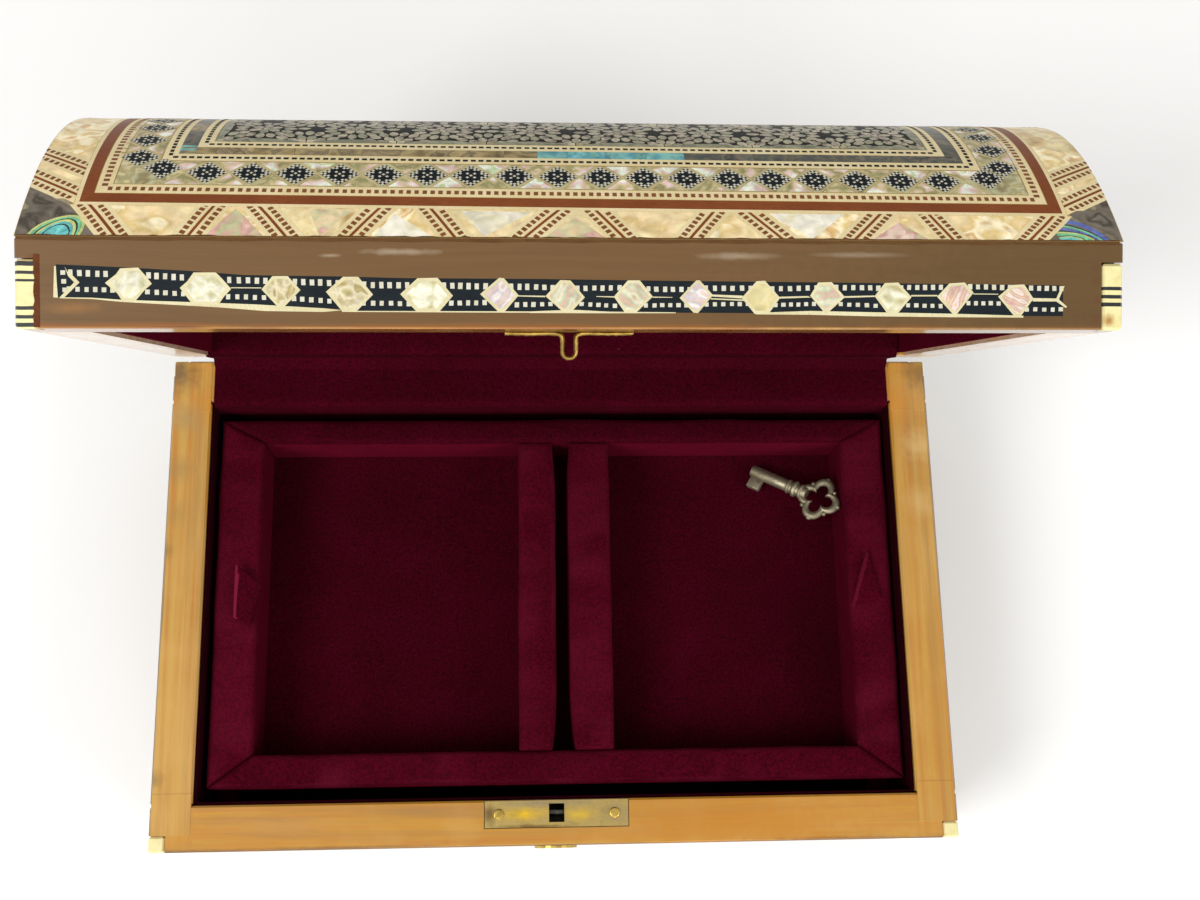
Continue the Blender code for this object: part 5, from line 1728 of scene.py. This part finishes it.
class SHELLBOX_OT_side_bands(bpy.types.Operator):
    """Lay plainer bands of the same pattern on the sides that the photograph doesn't show"""

    bl_idname = "shellbox.side_bands"
    bl_label = "Body and end bands"

    def execute(self, context):
        black, white, cream = band_veneers("side")
        shell = nacre(
            "side_white_shell",
            (
                (0.0, "#B7AC86"), (0.2, "#DCD6B2"), (0.4, "#F0EEDD"), (0.58, "#DDBFB2"), (0.76, "#E8E2C6"),
                (1.0, "#A99C78")
            ),
            patch=2.6, spread=0.7,
        )
        low, high = BODY_LOW, BODY_HIGH
        wide, deep = (high.x - low.x) / MM, (high.y - low.y) / MM
        faces = (
            (
                "body_front", "box", on_face((low.x, low.y, 0), (1, 0, 0), (0, 0, 1)), wide, (10.0, 41.0),
                wide / 2 - 0.8
            ),
            (
                "body_left", "box", on_face((low.x, high.y, 0), (0, -1, 0), (0, 0, 1)), deep, (10.0, 41.0),
                None
            ),
            (
                "body_right", "box", on_face((high.x, low.y, 0), (0, 1, 0), (0, 0, 1)), deep, (10.0, 41.0),
                None
            ),
            (
                "lid_left", "lid", on_face((low.x, high.y, LID_LOW.z), (0, -1, 0), (0, 0, 1), LID_PLACE),
                deep, (7.0,), None
            ),
            (
                "lid_right", "lid", on_face((high.x, low.y, LID_LOW.z), (0, 1, 0), (0, 0, 1), LID_PLACE),
                deep, (7.0,), None
            ),
        )
        for name, body, place, length, rows, gap in faces:
            grounds, squares, frames, shells = [], [], [], []
            for level in rows:
                spans = [(7.0, length - 7.0)]
                if gap is not None and level > 30:
                    spans = [(7.0, gap - 6.6), (gap + 6.6, length - 7.0)]
                for start, end in spans:
                    grounds.append(
                        [(start, level - 3.1), (end, level - 3.1), (end, level + 3.1), (start, level + 3.1)]
                    )
                    frames += [
                        [
                            (start, level - 3.25), (end, level - 3.25), (end, level - 3.0),
                            (start, level - 3.0)
                        ],
                        [
                            (start, level + 3.0), (end, level + 3.0), (end, level + 3.25),
                            (start, level + 3.25)
                        ],
                    ]
                    count = max(2, round((end - start) / 13.4))
                    step = (end - start) / count
                    for k in range(count):
                        middle = start + step * (k + 0.5)
                        frames.append(lozenge(middle, level, 7.0, 5.9))
                        shells.append(lozenge(middle, level, 5.4, 4.6))
                        for side in (-1.65, 1.65):
                            for i in range(4):
                                x = middle + step / 2 + (i - 1.5) * 1.53
                                if start + 0.8 < x < end - 0.8:
                                    squares.append(upright_square(x, level + side, 0.8, 0.95))
            cut_veneer(f"{name}_band_ground", grounds, 0.00003, black, 113, place, body, thick=0.00006)
            cut_veneer(f"{name}_band_frames", frames, 0.00007, cream, 127, place, body, thick=0.00009)
            cut_veneer(f"{name}_band_squares", squares, 0.00006, white, 131, place, body, thick=0.00008)
            cut_veneer(f"{name}_band_shells", shells, 0.00010, shell, 137, place, body, thick=0.00012)
        return {"FINISHED"}


def swept_cloth(name, path, low_x, high_x, columns, rows, thick, turn=None):
    """A sheet that follows a path of (y, z) points from one x to another."""
    piece = begin(name, bpy.ops.mesh.primitive_grid_add, x_subdivisions=columns, y_subdivisions=rows, size=1)
    line = np.array(path)
    run = np.concatenate([[0], np.cumsum(np.linalg.norm(np.diff(line, axis=0), axis=1))])

    def sweep(places):
        share = (places[:, 1] + 0.5) * run[-1]
        swept = np.stack([
            low_x + (places[:, 0] + 0.5) * (high_x - low_x),
            np.interp(share, run, line[:, 0]), np.interp(share, run, line[:, 1]),
        ], 1)
        return swept if turn is None else times(turn, swept)

    reshaped(piece, sweep)
    with_modifier(piece, "SOLIDIFY", thickness=thick, offset=0)
    return piece, run[-1]


class SHELLBOX_OT_linings(bpy.types.Operator):
    """Line the body and the lid with velvet"""

    bl_idname = "shellbox.linings"
    bl_label = "Velvet linings"

    def execute(self, context):
        low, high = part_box("body_lining")
        lining = block("body_velvet_lining", low, high)
        with editing(lining, "FACE"):
            pick(lining, "faces", lambda face: face.normal.z > 0.9)
            bpy.ops.mesh.delete(type="ONLY_FACE")
        with_modifier(lining, "BEVEL", width=0.0012, segments=3, limit_method="ANGLE")
        sliced(lining, "X", [low.x + (high.x - low.x) * i / 40 for i in range(1, 40)])
        sliced(lining, "Y", [low.y + (high.y - low.y) * i / 24 for i in range(1, 24)])
        sliced(lining, "Z", [high.z - 0.0012, high.z - 0.004, high.z - 0.012])
        reshaped(lining, lambda places: places + np.stack([
            np.zeros(len(places)), np.zeros(len(places)),
            np.where(places[:, 2] > high.z - 0.002, soft_bumps(places, 0.02, 0.0005, 3.0) - 0.0002, 0),
        ], 1))
        with_modifier(lining, "SOLIDIFY", thickness=0.0007, offset=-1)
        with_modifier(
            lining, "BEVEL", width=0.0002, segments=2, limit_method="ANGLE", angle_limit=math.radians(60)
        )
        smoothed(lining, 60)
        # Painted shade over the whole body lining
        store_painted_velvet_light(lining, lambda places: -0.95)
        dressed(lining, velvet("body_lining_velvet", sheen=0.05), "box", "velvet", "body_lining")

        inner = closed_box("lid_lining")
        surface = velvet("lid_lining_velvet")
        half, foot, crown = inner[1].y, inner[0].z, inner[1].z
        share = np.linspace(-1, 1, 49)
        span = HALF_DEPTH - 0.0062
        arch_y = share * (half - 0.0004)
        rise = crown - DOME_LOW.z
        arch_z = DOME_LOW.z + rise * (1 - np.abs(arch_y / span) ** DOME_POWER) - 0.0004
        path = [(arch_y[0], foot)] + list(zip(arch_y, arch_z)) + [(arch_y[-1], foot)]
        vault, length = swept_cloth(
            "lid_velvet_vault", path, inner[0].x + 0.0001, inner[1].x - 0.0001, 40, 90, 0.0007, LID_PLACE
        )
        smoothed(vault, 60)
        dressed(vault, surface, "lid", "velvet", "lid_lining")
        for side, x in (("left", inner[0].x + 0.0006), ("right", inner[1].x - 0.0006)):
            outline = [(x, arch_y[0] + 0.0005, foot)] + [
                (x, y, z - 0.0005) for y, z in zip(
                    np.clip(arch_y, arch_y[0] + 0.0005, arch_y[-1] - 0.0005), arch_z
                )
            ] + [(x, arch_y[-1] - 0.0005, foot)]
            mesh = bpy.data.meshes.new(f"lid_velvet_end_{side}")
            mesh.from_pydata(outline, [], [list(range(len(outline)))])
            piece = bpy.data.objects.new(mesh.name, mesh)
            context.scene.collection.objects.link(piece)
            with_modifier(piece, "SOLIDIFY", thickness=0.0007, offset=0)
            reshaped(piece, lambda places: times(LID_PLACE, places))
            tidied(piece)
            dressed(piece, surface, "lid", "velvet")

        # One strip of velvet over the back boards' rims, curved round the hinge as the lid stands open
        (x0, y0, _), (x1, y1, _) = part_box("hinge_cloth_body")
        body_z, lid_z = RIM + 0.00035, LID_LOW.z - 0.00035
        body_side = [
            (y0 - 0.0014, RIM - 0.0075), (y0 - 0.0014, RIM - 0.0016), (y0 - 0.0012, RIM - 0.0005),
            (y0 - 0.0005, RIM + 0.0002)
        ]
        body_side += [(y, body_z) for y in np.linspace(y0 + 0.0003, HINGE.y - 0.0024, 7)]
        lid_side = [(y, lid_z) for y in np.linspace(HINGE.y - 0.0024, y0 + 0.0003, 7)]
        lid_side += [
            (y0 - 0.0005, lid_z + 0.0002), (y0 - 0.0013, lid_z + 0.0012), (y0 - 0.0014, lid_z + 0.0024),
            (y0 - 0.0014, lid_z + 0.0090), (y0 + 0.0003, lid_z + 0.0104)
        ]
        lid_side = [tuple((LID_TURN @ Vector((0, y, z)))[1:]) for y, z in lid_side]
        radius = 0.0021
        start, end = math.pi, math.pi + OPENING
        bend = [
            (HINGE.y + radius * math.cos(turn), HINGE.z + radius * math.sin(turn))
            for turn in np.linspace(start, end, 9)[1:-1]
        ]
        path = body_side + bend + lid_side
        strip, length = swept_cloth("hinge_velvet_strip", path, x0, x1, 60, 70, 0.0003)
        tidied(strip)
        # Painted shade over the whole strip, deepest on the fold over the lid's rim
        store_painted_velvet_light(strip, lambda places: np.where(
            (places[:, 2] > 0.0560) & (places[:, 2] < 0.0630), -0.6,
            -0.30 + soft_bumps(places, 0.03, 0.15, 6.0)
        ))
        smoothed(strip, 60)
        dressed(
            strip, velvet("hinge_strip_velvet", sheen=0.05), None, "velvet", "hinge_cloth_body",
            "hinge_cloth_lid"
        )
        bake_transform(strip)
        return {"FINISHED"}


class SHELLBOX_OT_tray(bpy.types.Operator):
    """Build the padded velvet rails, floor and ledges of the lift-out tray"""

    bl_idname = "shellbox.tray"
    bl_label = "Velvet tray"

    def execute(self, context):
        surface = velvet("tray_velvet")
        low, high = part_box("tray_rail_front")
        left, right, front = low.x, high.x, low.y
        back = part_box("tray_rail_back")[1].y
        inner_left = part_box("tray_rail_left")[1].x
        inner_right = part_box("tray_rail_right")[0].x
        inner_front, inner_back = high.y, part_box("tray_rail_back")[0].y
        seam = 0.00012
        plans = {
            "front": (
                (left, front), (right, front), (inner_right - seam, inner_front),
                (inner_left + seam, inner_front)
            ),
            "back": (
                (inner_left + seam, inner_back), (inner_right - seam, inner_back), (right, back), (left, back)
            ),
            "left": (
                (left, front + seam), (inner_left, inner_front + seam), (inner_left, inner_back - seam),
                (left, back - seam)
            ),
            "right": (
                (inner_right, inner_front + seam), (right, front + seam), (right, back - seam),
                (inner_right, inner_back - seam)
            ),
        }
        for side in ("middle_left", "middle_right"):
            one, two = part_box(f"tray_rail_{side}")
            plans[side] = (
                (one.x, inner_front + 0.0001), (two.x, inner_front + 0.0001), (two.x, inner_back - 0.0001),
                (one.x, inner_back - 0.0001)
            )
        for seed, (side, plan) in enumerate(plans.items()):
            node = f"tray_rail_{side}"
            low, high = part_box(node)
            rail = block(f"velvet_rail_{side}", (0, 0, low.z), (1, 1, high.z))
            corners = np.array(plan)

            def stand(places):
                u, v = places[:, 0:1], places[:, 1:2]
                near = (1 - u) * (1 - v) * corners[0] + u * (1 - v) * corners[1]
                flat = near + u * v * corners[2] + (1 - u) * v * corners[3]
                return np.concatenate([flat, places[:, 2:]], 1)

            reshaped(rail, stand)
            along_x = side in ("front", "back")
            long_axis = 0 if along_x else 1
            width = sizes().rail_round
            with editing(rail, "EDGE"):
                pick(rail, "edges", lambda edge: min(v.co.z for v in edge.verts) > high.z - 1e-6)
                bpy.ops.mesh.bevel(offset=width, segments=4, affect="EDGES")
                pick(rail, "edges", lambda edge: abs(edge.verts[0].co.z - edge.verts[1].co.z) > 0.01)
                bpy.ops.mesh.bevel(offset=0.0005, segments=2, affect="EDGES")
            start, end = (left, right) if along_x else (front, back)
            steps = int((end - start) / 0.0028)
            sliced(
                rail, "X" if along_x else "Y",
                [start + (end - start) * (i + 0.5) / steps for i in range(steps)]
            )
            sliced(rail, "Z", [high.z - 0.003, high.z - 0.006, high.z - 0.010])
            middle = (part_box(node)[0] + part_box(node)[1]) / 2
            half_wide = ((high.y - low.y) if along_x else (high.x - low.x)) / 2

            def soften(places):
                """Crown the top a little, let the cloth wander, and open the ring slot towards its ends."""
                moved = places.copy()
                across = (places[:, 1 - long_axis] - middle[1 - long_axis]) / half_wide
                near_top = np.clip((places[:, 2] - (high.z - 0.004)) / 0.004, 0, 1)
                moved[:, 2] -= near_top * 0.00035 * np.clip(across ** 2, 0, 1)
                for axis, reach, depth in ((2, 0.011, 0.00035), (1 - long_axis, 0.014, 0.0005)):
                    moved[:, axis] += (
                        soft_bumps(places, reach, depth, seed * 3.1 + axis) - depth * 0.3
                    ) * near_top
                moved[:, 2] += soft_bumps(places, 0.0035, 0.00012, seed + 9.0) * near_top
                if side.startswith("middle"):
                    slot_side = (
                        places[:, 0] > middle.x
                    ) if side == "middle_left" else (places[:, 0] < middle.x)
                    sign = -1 if side == "middle_left" else 1
                    front_end = np.clip((front + 0.026 - places[:, 1]) / 0.018, 0, 1) ** 2
                    back_end = np.clip((places[:, 1] - back + 0.020) / 0.014, 0, 1) ** 2
                    moved[:, 0] += np.where(slot_side, sign * (0.0012 * front_end + 0.0007 * back_end), 0)
                return moved

            reshaped(rail, soften)
            smoothed(rail, 60)

            # Painted light and shade: painted highlights along the rails' top edges and painted shade down
            # their sides; the back rail has painted shade over its top and a little painted light on its sides
            def nap(places):
                across = (places[:, 1 - long_axis] - middle[1 - long_axis]) / half_wide
                on_top = places[:, 2] > high.z - 0.0022
                fold = np.where(
                    on_top & (np.abs(across) > 0.72), 0.07 + soft_bumps(places, 0.006, 0.12, seed + 4.0), 0.0
                )
                if side == "back":
                    return np.where(on_top, -0.42, 0.06) + fold
                return fold + np.where(on_top, soft_bumps(places, 0.02, 0.06, seed + 2.0), -0.12)

            store_painted_velvet_light(rail, nap)
            dressed(rail, surface, "box", "velvet", node)

        low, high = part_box("tray_base")
        floor = block("velvet_tray_floor", low, (high.x, high.y, high.z + 0.0002))
        with editing(floor):
            pick(floor, "edges", lambda edge: True)
            bpy.ops.mesh.bevel(offset=0.0004, segments=2, affect="EDGES")
        sliced(floor, "X", [low.x + (high.x - low.x) * i / 60 for i in range(1, 60)])
        sliced(floor, "Y", [low.y + (high.y - low.y) * i / 34 for i in range(1, 34)])
        top = high.z

        def waver(places):
            moved = places.copy()
            moved[:, 2] += np.where(
                places[:, 2] > top - 0.0002, soft_bumps(places, 0.024, 0.0002, 5.0) - 0.0002, 0
            )
            return moved

        reshaped(floor, waver)
        smoothed(floor, 40)
        # Painted shade over the tray floor, uneven at random
        store_painted_velvet_light(floor, lambda places: -0.34 + soft_bumps(places, 0.03, 0.2, 8.0))
        dressed(floor, surface, "box", "velvet", "tray_base")
        for side in ("left", "right"):
            low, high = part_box(f"tray_ledge_{side}")
            ledge = block(f"velvet_ledge_{side}", low, high)
            with editing(ledge):
                pick(ledge, "edges", lambda edge: True)
                bpy.ops.mesh.bevel(offset=0.0008, segments=3, affect="EDGES")
            smoothed(ledge, 40)
            dressed(ledge, surface, "box", "velvet", f"tray_ledge_{side}")
        return {"FINISHED"}


class SHELLBOX_OT_pull_tabs(bpy.types.Operator):
    """Fold the two velvet ribbons that lift the tray"""

    bl_idname = "shellbox.pull_tabs"
    bl_label = "Pull tabs"

    def execute(self, context):
        surface = velvet("pull_tab_velvet")
        for side, corners, lifts in (
            (
                "left", ((-0.0843, -0.0052), (-0.0802, -0.0076), (-0.0772, 0.0030), (-0.0842, 0.0088)),
                (0.0012, 0.0008, 0.0019, 0.0016)
            ),
            (
                "right", ((0.0784, -0.0042), (0.0866, -0.0020), (0.0838, 0.0110), (0.0822, 0.0070)),
                (0.0018, 0.0006, 0.0004, 0.0010)
            ),
        ):
            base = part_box(f"pull_tab_{side}")[0].z
            tab = begin(
                f"velvet_tab_{side}", bpy.ops.mesh.primitive_grid_add, x_subdivisions=14, y_subdivisions=18,
                size=1
            )
            plan, rise = np.array(corners), np.array(lifts)

            def fold(places):
                u, v = places[:, 0:1] + 0.5, places[:, 1:2] + 0.5
                share = np.concatenate([(1 - u) * (1 - v), u * (1 - v), u * v, (1 - u) * v], 1)
                height = share @ rise + 0.0005 * np.sin(math.pi * u[:, 0]) * np.sin(math.pi * v[:, 0])
                return np.concatenate([share @ plan, (base + height)[:, None]], 1)

            reshaped(tab, fold)
            edge_from, edge_to = plan[0], plan[3]

            def nap(places):
                """Painted highlight along the ribbon's left edge, and painted shade on the rest of it."""
                line = (edge_to - edge_from) / np.linalg.norm(edge_to - edge_from)
                off = places[:, :2] - edge_from
                away = np.abs(off[:, 0] * line[1] - off[:, 1] * line[0])
                return np.where(
                    away < 0.0009, 0.6 if side == "left" else 0.25, -0.22 if side == "left" else -0.05
                )

            with_modifier(tab, "SOLIDIFY", thickness=0.0008, offset=0)
            with_modifier(
                tab, "BEVEL", width=0.0002, segments=2, limit_method="ANGLE", angle_limit=math.radians(60)
            )
            tidied(tab)
            store_painted_velvet_light(tab, nap)
            smoothed(tab, 50)
            dressed(tab, surface, "box", "velvet", f"pull_tab_{side}")
        return {"FINISHED"}


class SHELLBOX_OT_lock(bpy.types.Operator):
    """Finish the lock plate, its lever and screws, the strike, the escutcheon and the hinges"""

    bl_idname = "shellbox.lock"
    bl_label = "Lock and hinges"

    def execute(self, context):
        brass = old_metal("rubbed_sheet_brass", colours().brass, "#7D6A34", 0.34)
        (plate_x, plate_y, _), (plate_far, plate_back, top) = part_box("lock_plate")
        middle_x, middle_y = (plate_x + plate_far) / 2, (plate_y + plate_back) / 2
        dress_node("lock_plate", old_metal("mottled_lock_brass", "#D8BC74", "#8A7748", 0.38, 1.0, (
            ((middle_x - 0.0085, middle_y, top), (0.0075, 0.0020, 0.01), "#F2C63A", 0.9),
            ((middle_x + 0.0060, middle_y - 0.0004, top), (0.0050, 0.0022, 0.01), "#EFC648", 0.8),
            ((plate_x + 0.0012, middle_y, top), (0.0022, 0.0040, 0.01), "#6E5236", 0.75),
            ((middle_x - 0.0030, middle_y + 0.0026, top), (0.0160, 0.0010, 0.01), "#A89878", 0.8),
            ((plate_far - 0.0030, middle_y, top), (0.0046, 0.0034, 0.01), "#B5A276", 0.7),
            ((middle_x - 0.0060, plate_y + 0.0002, top), (0.0120, 0.0007, 0.01), "#7A5C30", 0.8),
        )))
        dress_node("lock_case", old_metal("dark_iron_lock_case", "#34352F", "#1A1C1C", 0.5))
        dress_node("keyhole_escutcheon", brass)
        for side in ("left", "right"):
            for leaf in ("body_leaf", "pin", "lid_leaf"):
                dress_node(f"hinge_{side}_{leaf}", brass)
        strike_low, strike_high = closed_box("strike_plate", LID_TURN)
        reach = (strike_high.x - strike_low.x) / 2
        middle_x, middle_y = (strike_low.x + strike_high.x) / 2, (strike_low.y + strike_high.y) / 2
        rim = LID_LOW.z
        leg, drop = 0.00128, rim - strike_low.z
        line = [
            (-reach, -0.0003), (-reach * 0.6, -0.0004), (-reach * 0.3, -0.0003), (-leg - 0.0012, -0.00035),
            (-leg - 0.0003, -0.0006), (-leg, -0.0011)
        ]
        line += [(-leg, -drop * 0.6)]
        line += [
            (leg * math.cos(t), -drop + 0.0005 + leg + leg * math.sin(t))
            for t in np.linspace(math.pi, math.tau, 9)
        ]
        line += [(-x, z) for x, z in line[6::-1]]
        line = np.array(line)
        run = np.concatenate([[0], np.cumsum(np.linalg.norm(np.diff(line, axis=0), axis=1))])
        bar = begin("strike_wire", bpy.ops.mesh.primitive_cylinder_add, vertices=14, radius=0.5, depth=1.0)
        sliced(bar, "Z", [(k + 0.5) / 90 - 0.5 for k in range(90)])

        def bent(places):
            """Follow the line with a bar that swells and thins like a roughly filed strip."""
            share = (places[:, 2] + 0.5) * run[-1]
            x, z = np.interp(share, run, line[:, 0]), np.interp(share, run, line[:, 1])
            ahead = np.stack([
                np.interp(share + 0.0002, run, line[:, 0]) - np.interp(share - 0.0002, run, line[:, 0]),
                np.interp(share + 0.0002, run, line[:, 1]) - np.interp(share - 0.0002, run, line[:, 1]),
            ], 1)
            ahead /= np.maximum(np.linalg.norm(ahead, axis=1), 1e-9)[:, None]
            swell = 1 + np.array([0.3 * noise.noise(Vector((value * 1300, 3.7, 0))) for value in share])
            across = places[:, 0] * 0.00086 * swell
            return times(LID_TURN, np.stack([
                middle_x + x - ahead[:, 1] * across, middle_y + places[:, 1] * 0.0022,
                rim + z + ahead[:, 0] * across
            ], 1))

        reshaped(bar, bent)
        seat = block(
            "strike_seat", (strike_low.x, strike_low.y, rim - 0.00005),
            (strike_high.x, strike_high.y, strike_high.z)
        )
        reshaped(seat, lambda places: times(LID_TURN, places))
        tidied(joined([bar, seat], "strike_wire"))
        smoothed(bar, 50)
        dressed(
            bar, old_metal("gold_cast_brass", "#C8A658", "#5E4820", 0.36, 1.8), "lid", "old_brass",
            "strike_plate"
        )
        steel = old_metal("steel_lever", "#D2D3C8", "#8A8A80", 0.4)
        slot_x, slot_y = (plate_x + plate_far) / 2, plate_back - 0.0008 - 0.0021
        # A lever deep in the lock, below the end of the strike's loop when the lid is shut
        lever = block(
            "lock_lever", (slot_x - 0.0021, slot_y - 0.0006, RIM - 0.0076),
            (slot_x + 0.0021, slot_y + 0.0006, RIM - 0.0064)
        )
        with editing(lever):
            pick(lever, "edges", lambda edge: True)
            bpy.ops.mesh.bevel(offset=0.00018, segments=2, affect="EDGES")
        smoothed(lever, 40)
        dressed(lever, steel, "box", "old_brass")
        for side in ("left", "right"):
            node = f"lock_screw_{side}"
            low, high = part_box(node)
            middle = (low + high) / 2
            head = begin(
                f"slotted_screw_{side}", bpy.ops.mesh.primitive_cylinder_add, vertices=32,
                radius=(high.x - low.x) / 2, depth=high.z - low.z, location=middle,
            )
            with editing(head, "FACE"):
                pick(head, "edges", lambda edge: min(v.co.z for v in edge.verts) > high.z - 1e-6)
                bpy.ops.mesh.bevel(offset=0.00028, segments=4, affect="EDGES")
            slot = block("slot_cutter", (-0.002, -0.00016, high.z - 0.0003), (0.002, 0.00016, high.z + 0.001))
            turn = Matrix.Translation((middle.x, middle.y, 0)) @ Matrix.Rotation(
                0.7 if side == "left" else -0.4, 4, "Z"
            )
            reshaped(slot, lambda places: times(turn, places))
            with_modifier(head, "BOOLEAN", object=slot, operation="DIFFERENCE")
            bpy.data.objects.remove(slot)
            smoothed(head, 30)
            dressed(head, brass, "box", "old_brass", node)
        return {"FINISHED"}


class SHELLBOX_OT_key(bpy.types.Operator):
    """Model the small cabinet key"""

    bl_idname = "shellbox.key"
    bl_label = "Key"

    def execute(self, context):
        shank, radius = 0.0165, 0.0016
        parts = []
        barrel = begin(
            "key_barrel", bpy.ops.mesh.primitive_cylinder_add, vertices=32, radius=radius, depth=shank,
            location=(0, 0, -shank / 2)
        )
        with editing(barrel, "FACE"):
            pick(barrel, "faces", lambda face: face.normal.z > 0.9)
            bpy.ops.mesh.inset(thickness=0.0005)
            bpy.ops.mesh.extrude_region_move(TRANSFORM_OT_translate={"value": (0, 0, -0.004)})
        with_modifier(
            barrel, "BEVEL", width=0.00015, segments=2, limit_method="ANGLE", angle_limit=math.radians(50)
        )
        parts.append(barrel)
        for place, grow in ((-0.0112, 0.00035), (-0.0130, 0.00060), (-0.0148, 0.00040)):
            collar = begin(
                "key_collar", bpy.ops.mesh.primitive_torus_add, major_segments=32, minor_segments=10,
                major_radius=radius - 0.0001, minor_radius=grow + 0.0001, location=(0, 0, place),
            )
            parts.append(collar)
        bit = block("key_bit", (0.0010, -0.0008, -0.0042), (0.0046, 0.0008, -0.0006))
        with editing(bit):
            pick(bit, "edges", lambda edge: True)
            bpy.ops.mesh.bevel(offset=0.0002, segments=2, affect="EDGES")
        parts.append(bit)
        centre = -shank - 0.0038 - 0.0006 + 0.0009
        bow = begin(
            "key_bow", bpy.ops.mesh.primitive_torus_add, major_segments=96, minor_segments=12,
            major_radius=1.0, minor_radius=0.2
        )

        def quatrefoil(places):
            turn = np.arctan2(places[:, 1], places[:, 0])
            reach = np.hypot(places[:, 0], places[:, 1])
            side = (reach - 1.0) / 0.2
            lobe = np.abs(np.cos(2 * turn)) ** 0.9
            line = 0.00290 + 0.00208 * lobe
            half = 0.00104 + 0.00016 * (1 - lobe)
            out = line + half * side
            return np.stack(
                [out * np.sin(turn), places[:, 2] / 0.2 * 0.00085, centre + out * np.cos(turn)], 1
            )

        reshaped(bow, quatrefoil)
        parts.append(bow)
        for k in range(4):
            turn = math.tau * (k + 0.5) / 4
            for reach, size in ((0.0033, 0.00070), (0.0045, 0.00062)):
                ball = begin(
                    "key_bead", bpy.ops.mesh.primitive_uv_sphere_add, segments=16, ring_count=10, radius=size,
                    location=(reach * math.sin(turn), 0, centre + reach * math.cos(turn)),
                )
                parts.append(ball)
        for k in (0.25, 0.5, 0.75):
            turn = math.tau * k
            parts.append(begin(
                "key_knob", bpy.ops.mesh.primitive_uv_sphere_add, segments=16, ring_count=10, radius=0.00075,
                location=(0.0056 * math.sin(turn), 0, centre + 0.0056 * math.cos(turn)),
            ))
        key = joined(parts, "cabinet_key")
        tidied(key)
        low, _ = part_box("tray_rail_right")
        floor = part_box("tray_base")[1].z + 0.0003 + 0.0003
        lift, spin = math.radians(23.0), math.radians(-31.8)
        tip = Vector(
            (low.x - 0.0217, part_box("tray_rail_back")[0].y - 0.0068, floor + radius * math.cos(lift) + 0.0003)
        )
        lay = Matrix.Rotation(-math.pi / 2, 4, "Z") @ Matrix.Rotation(math.pi / 2, 4, "X")
        place = Matrix.Translation(tip) @ Matrix.Rotation(spin, 4, "Z") @ Matrix.Rotation(-lift, 4, "Y") @ lay
        # Set a little larger and flatter to the light than the plain solid
        bow_at = place @ Vector((0, 0, centre))
        nudge = Matrix.Translation(
            bow_at + Vector((0.0003, 0.0015, 0.0001))
        ) @ Matrix.Rotation(math.radians(0.6), 4, "Z")
        nudge = nudge @ Matrix.Scale(1.06, 4) @ Matrix.Translation(-bow_at)
        place = nudge @ place
        reshaped(key, lambda places: times(place, places))
        smoothed(key, 40)
        dressed(
            key, old_metal("worn_nickel_plate", "#B9B095", "#6E6650", 0.54, 0.8), "box", "dull_nickel", "key"
        )
        return {"FINISHED"}


STEPS = (
    SHELLBOX_OT_stage, SHELLBOX_OT_boards, SHELLBOX_OT_joint_glue, SHELLBOX_OT_corner_strips,
    SHELLBOX_OT_dome_borders, SHELLBOX_OT_dome_lozenges, SHELLBOX_OT_dome_panel, SHELLBOX_OT_lid_band,
    SHELLBOX_OT_side_bands, SHELLBOX_OT_linings, SHELLBOX_OT_tray, SHELLBOX_OT_pull_tabs, SHELLBOX_OT_lock,
    SHELLBOX_OT_key,
)


class SHELLBOX_PT_panel(bpy.types.Panel):
    """Lists the steps and settings of the shell box"""

    bl_idname = "SHELLBOX_PT_panel"
    bl_label = "Shell Box"
    bl_space_type = "VIEW_3D"
    bl_region_type = "UI"
    bl_category = "Shell Box"

    def draw(self, context):
        for step in STEPS:
            self.layout.operator(step.bl_idname)
        for group in (sizes(), colours()):
            box = self.layout.box()
            for name in group.__annotations__:
                box.prop(group, name)


CLASSES = (ShellBoxSizes, ShellBoxColours, *STEPS, SHELLBOX_PT_panel)


def register():
    for each in CLASSES:
        bpy.utils.register_class(each)
    bpy.types.Scene.shell_box_sizes = bpy.props.PointerProperty(type=ShellBoxSizes)
    bpy.types.Scene.shell_box_colours = bpy.props.PointerProperty(type=ShellBoxColours)


def unregister():
    del bpy.types.Scene.shell_box_colours
    del bpy.types.Scene.shell_box_sizes
    for each in reversed(CLASSES):
        bpy.utils.unregister_class(each)


def main():
    register()
    for step in STEPS:
        group, name = step.bl_idname.split(".")
        getattr(getattr(bpy.ops, group), name)()


if __name__ == "__main__":
    main()
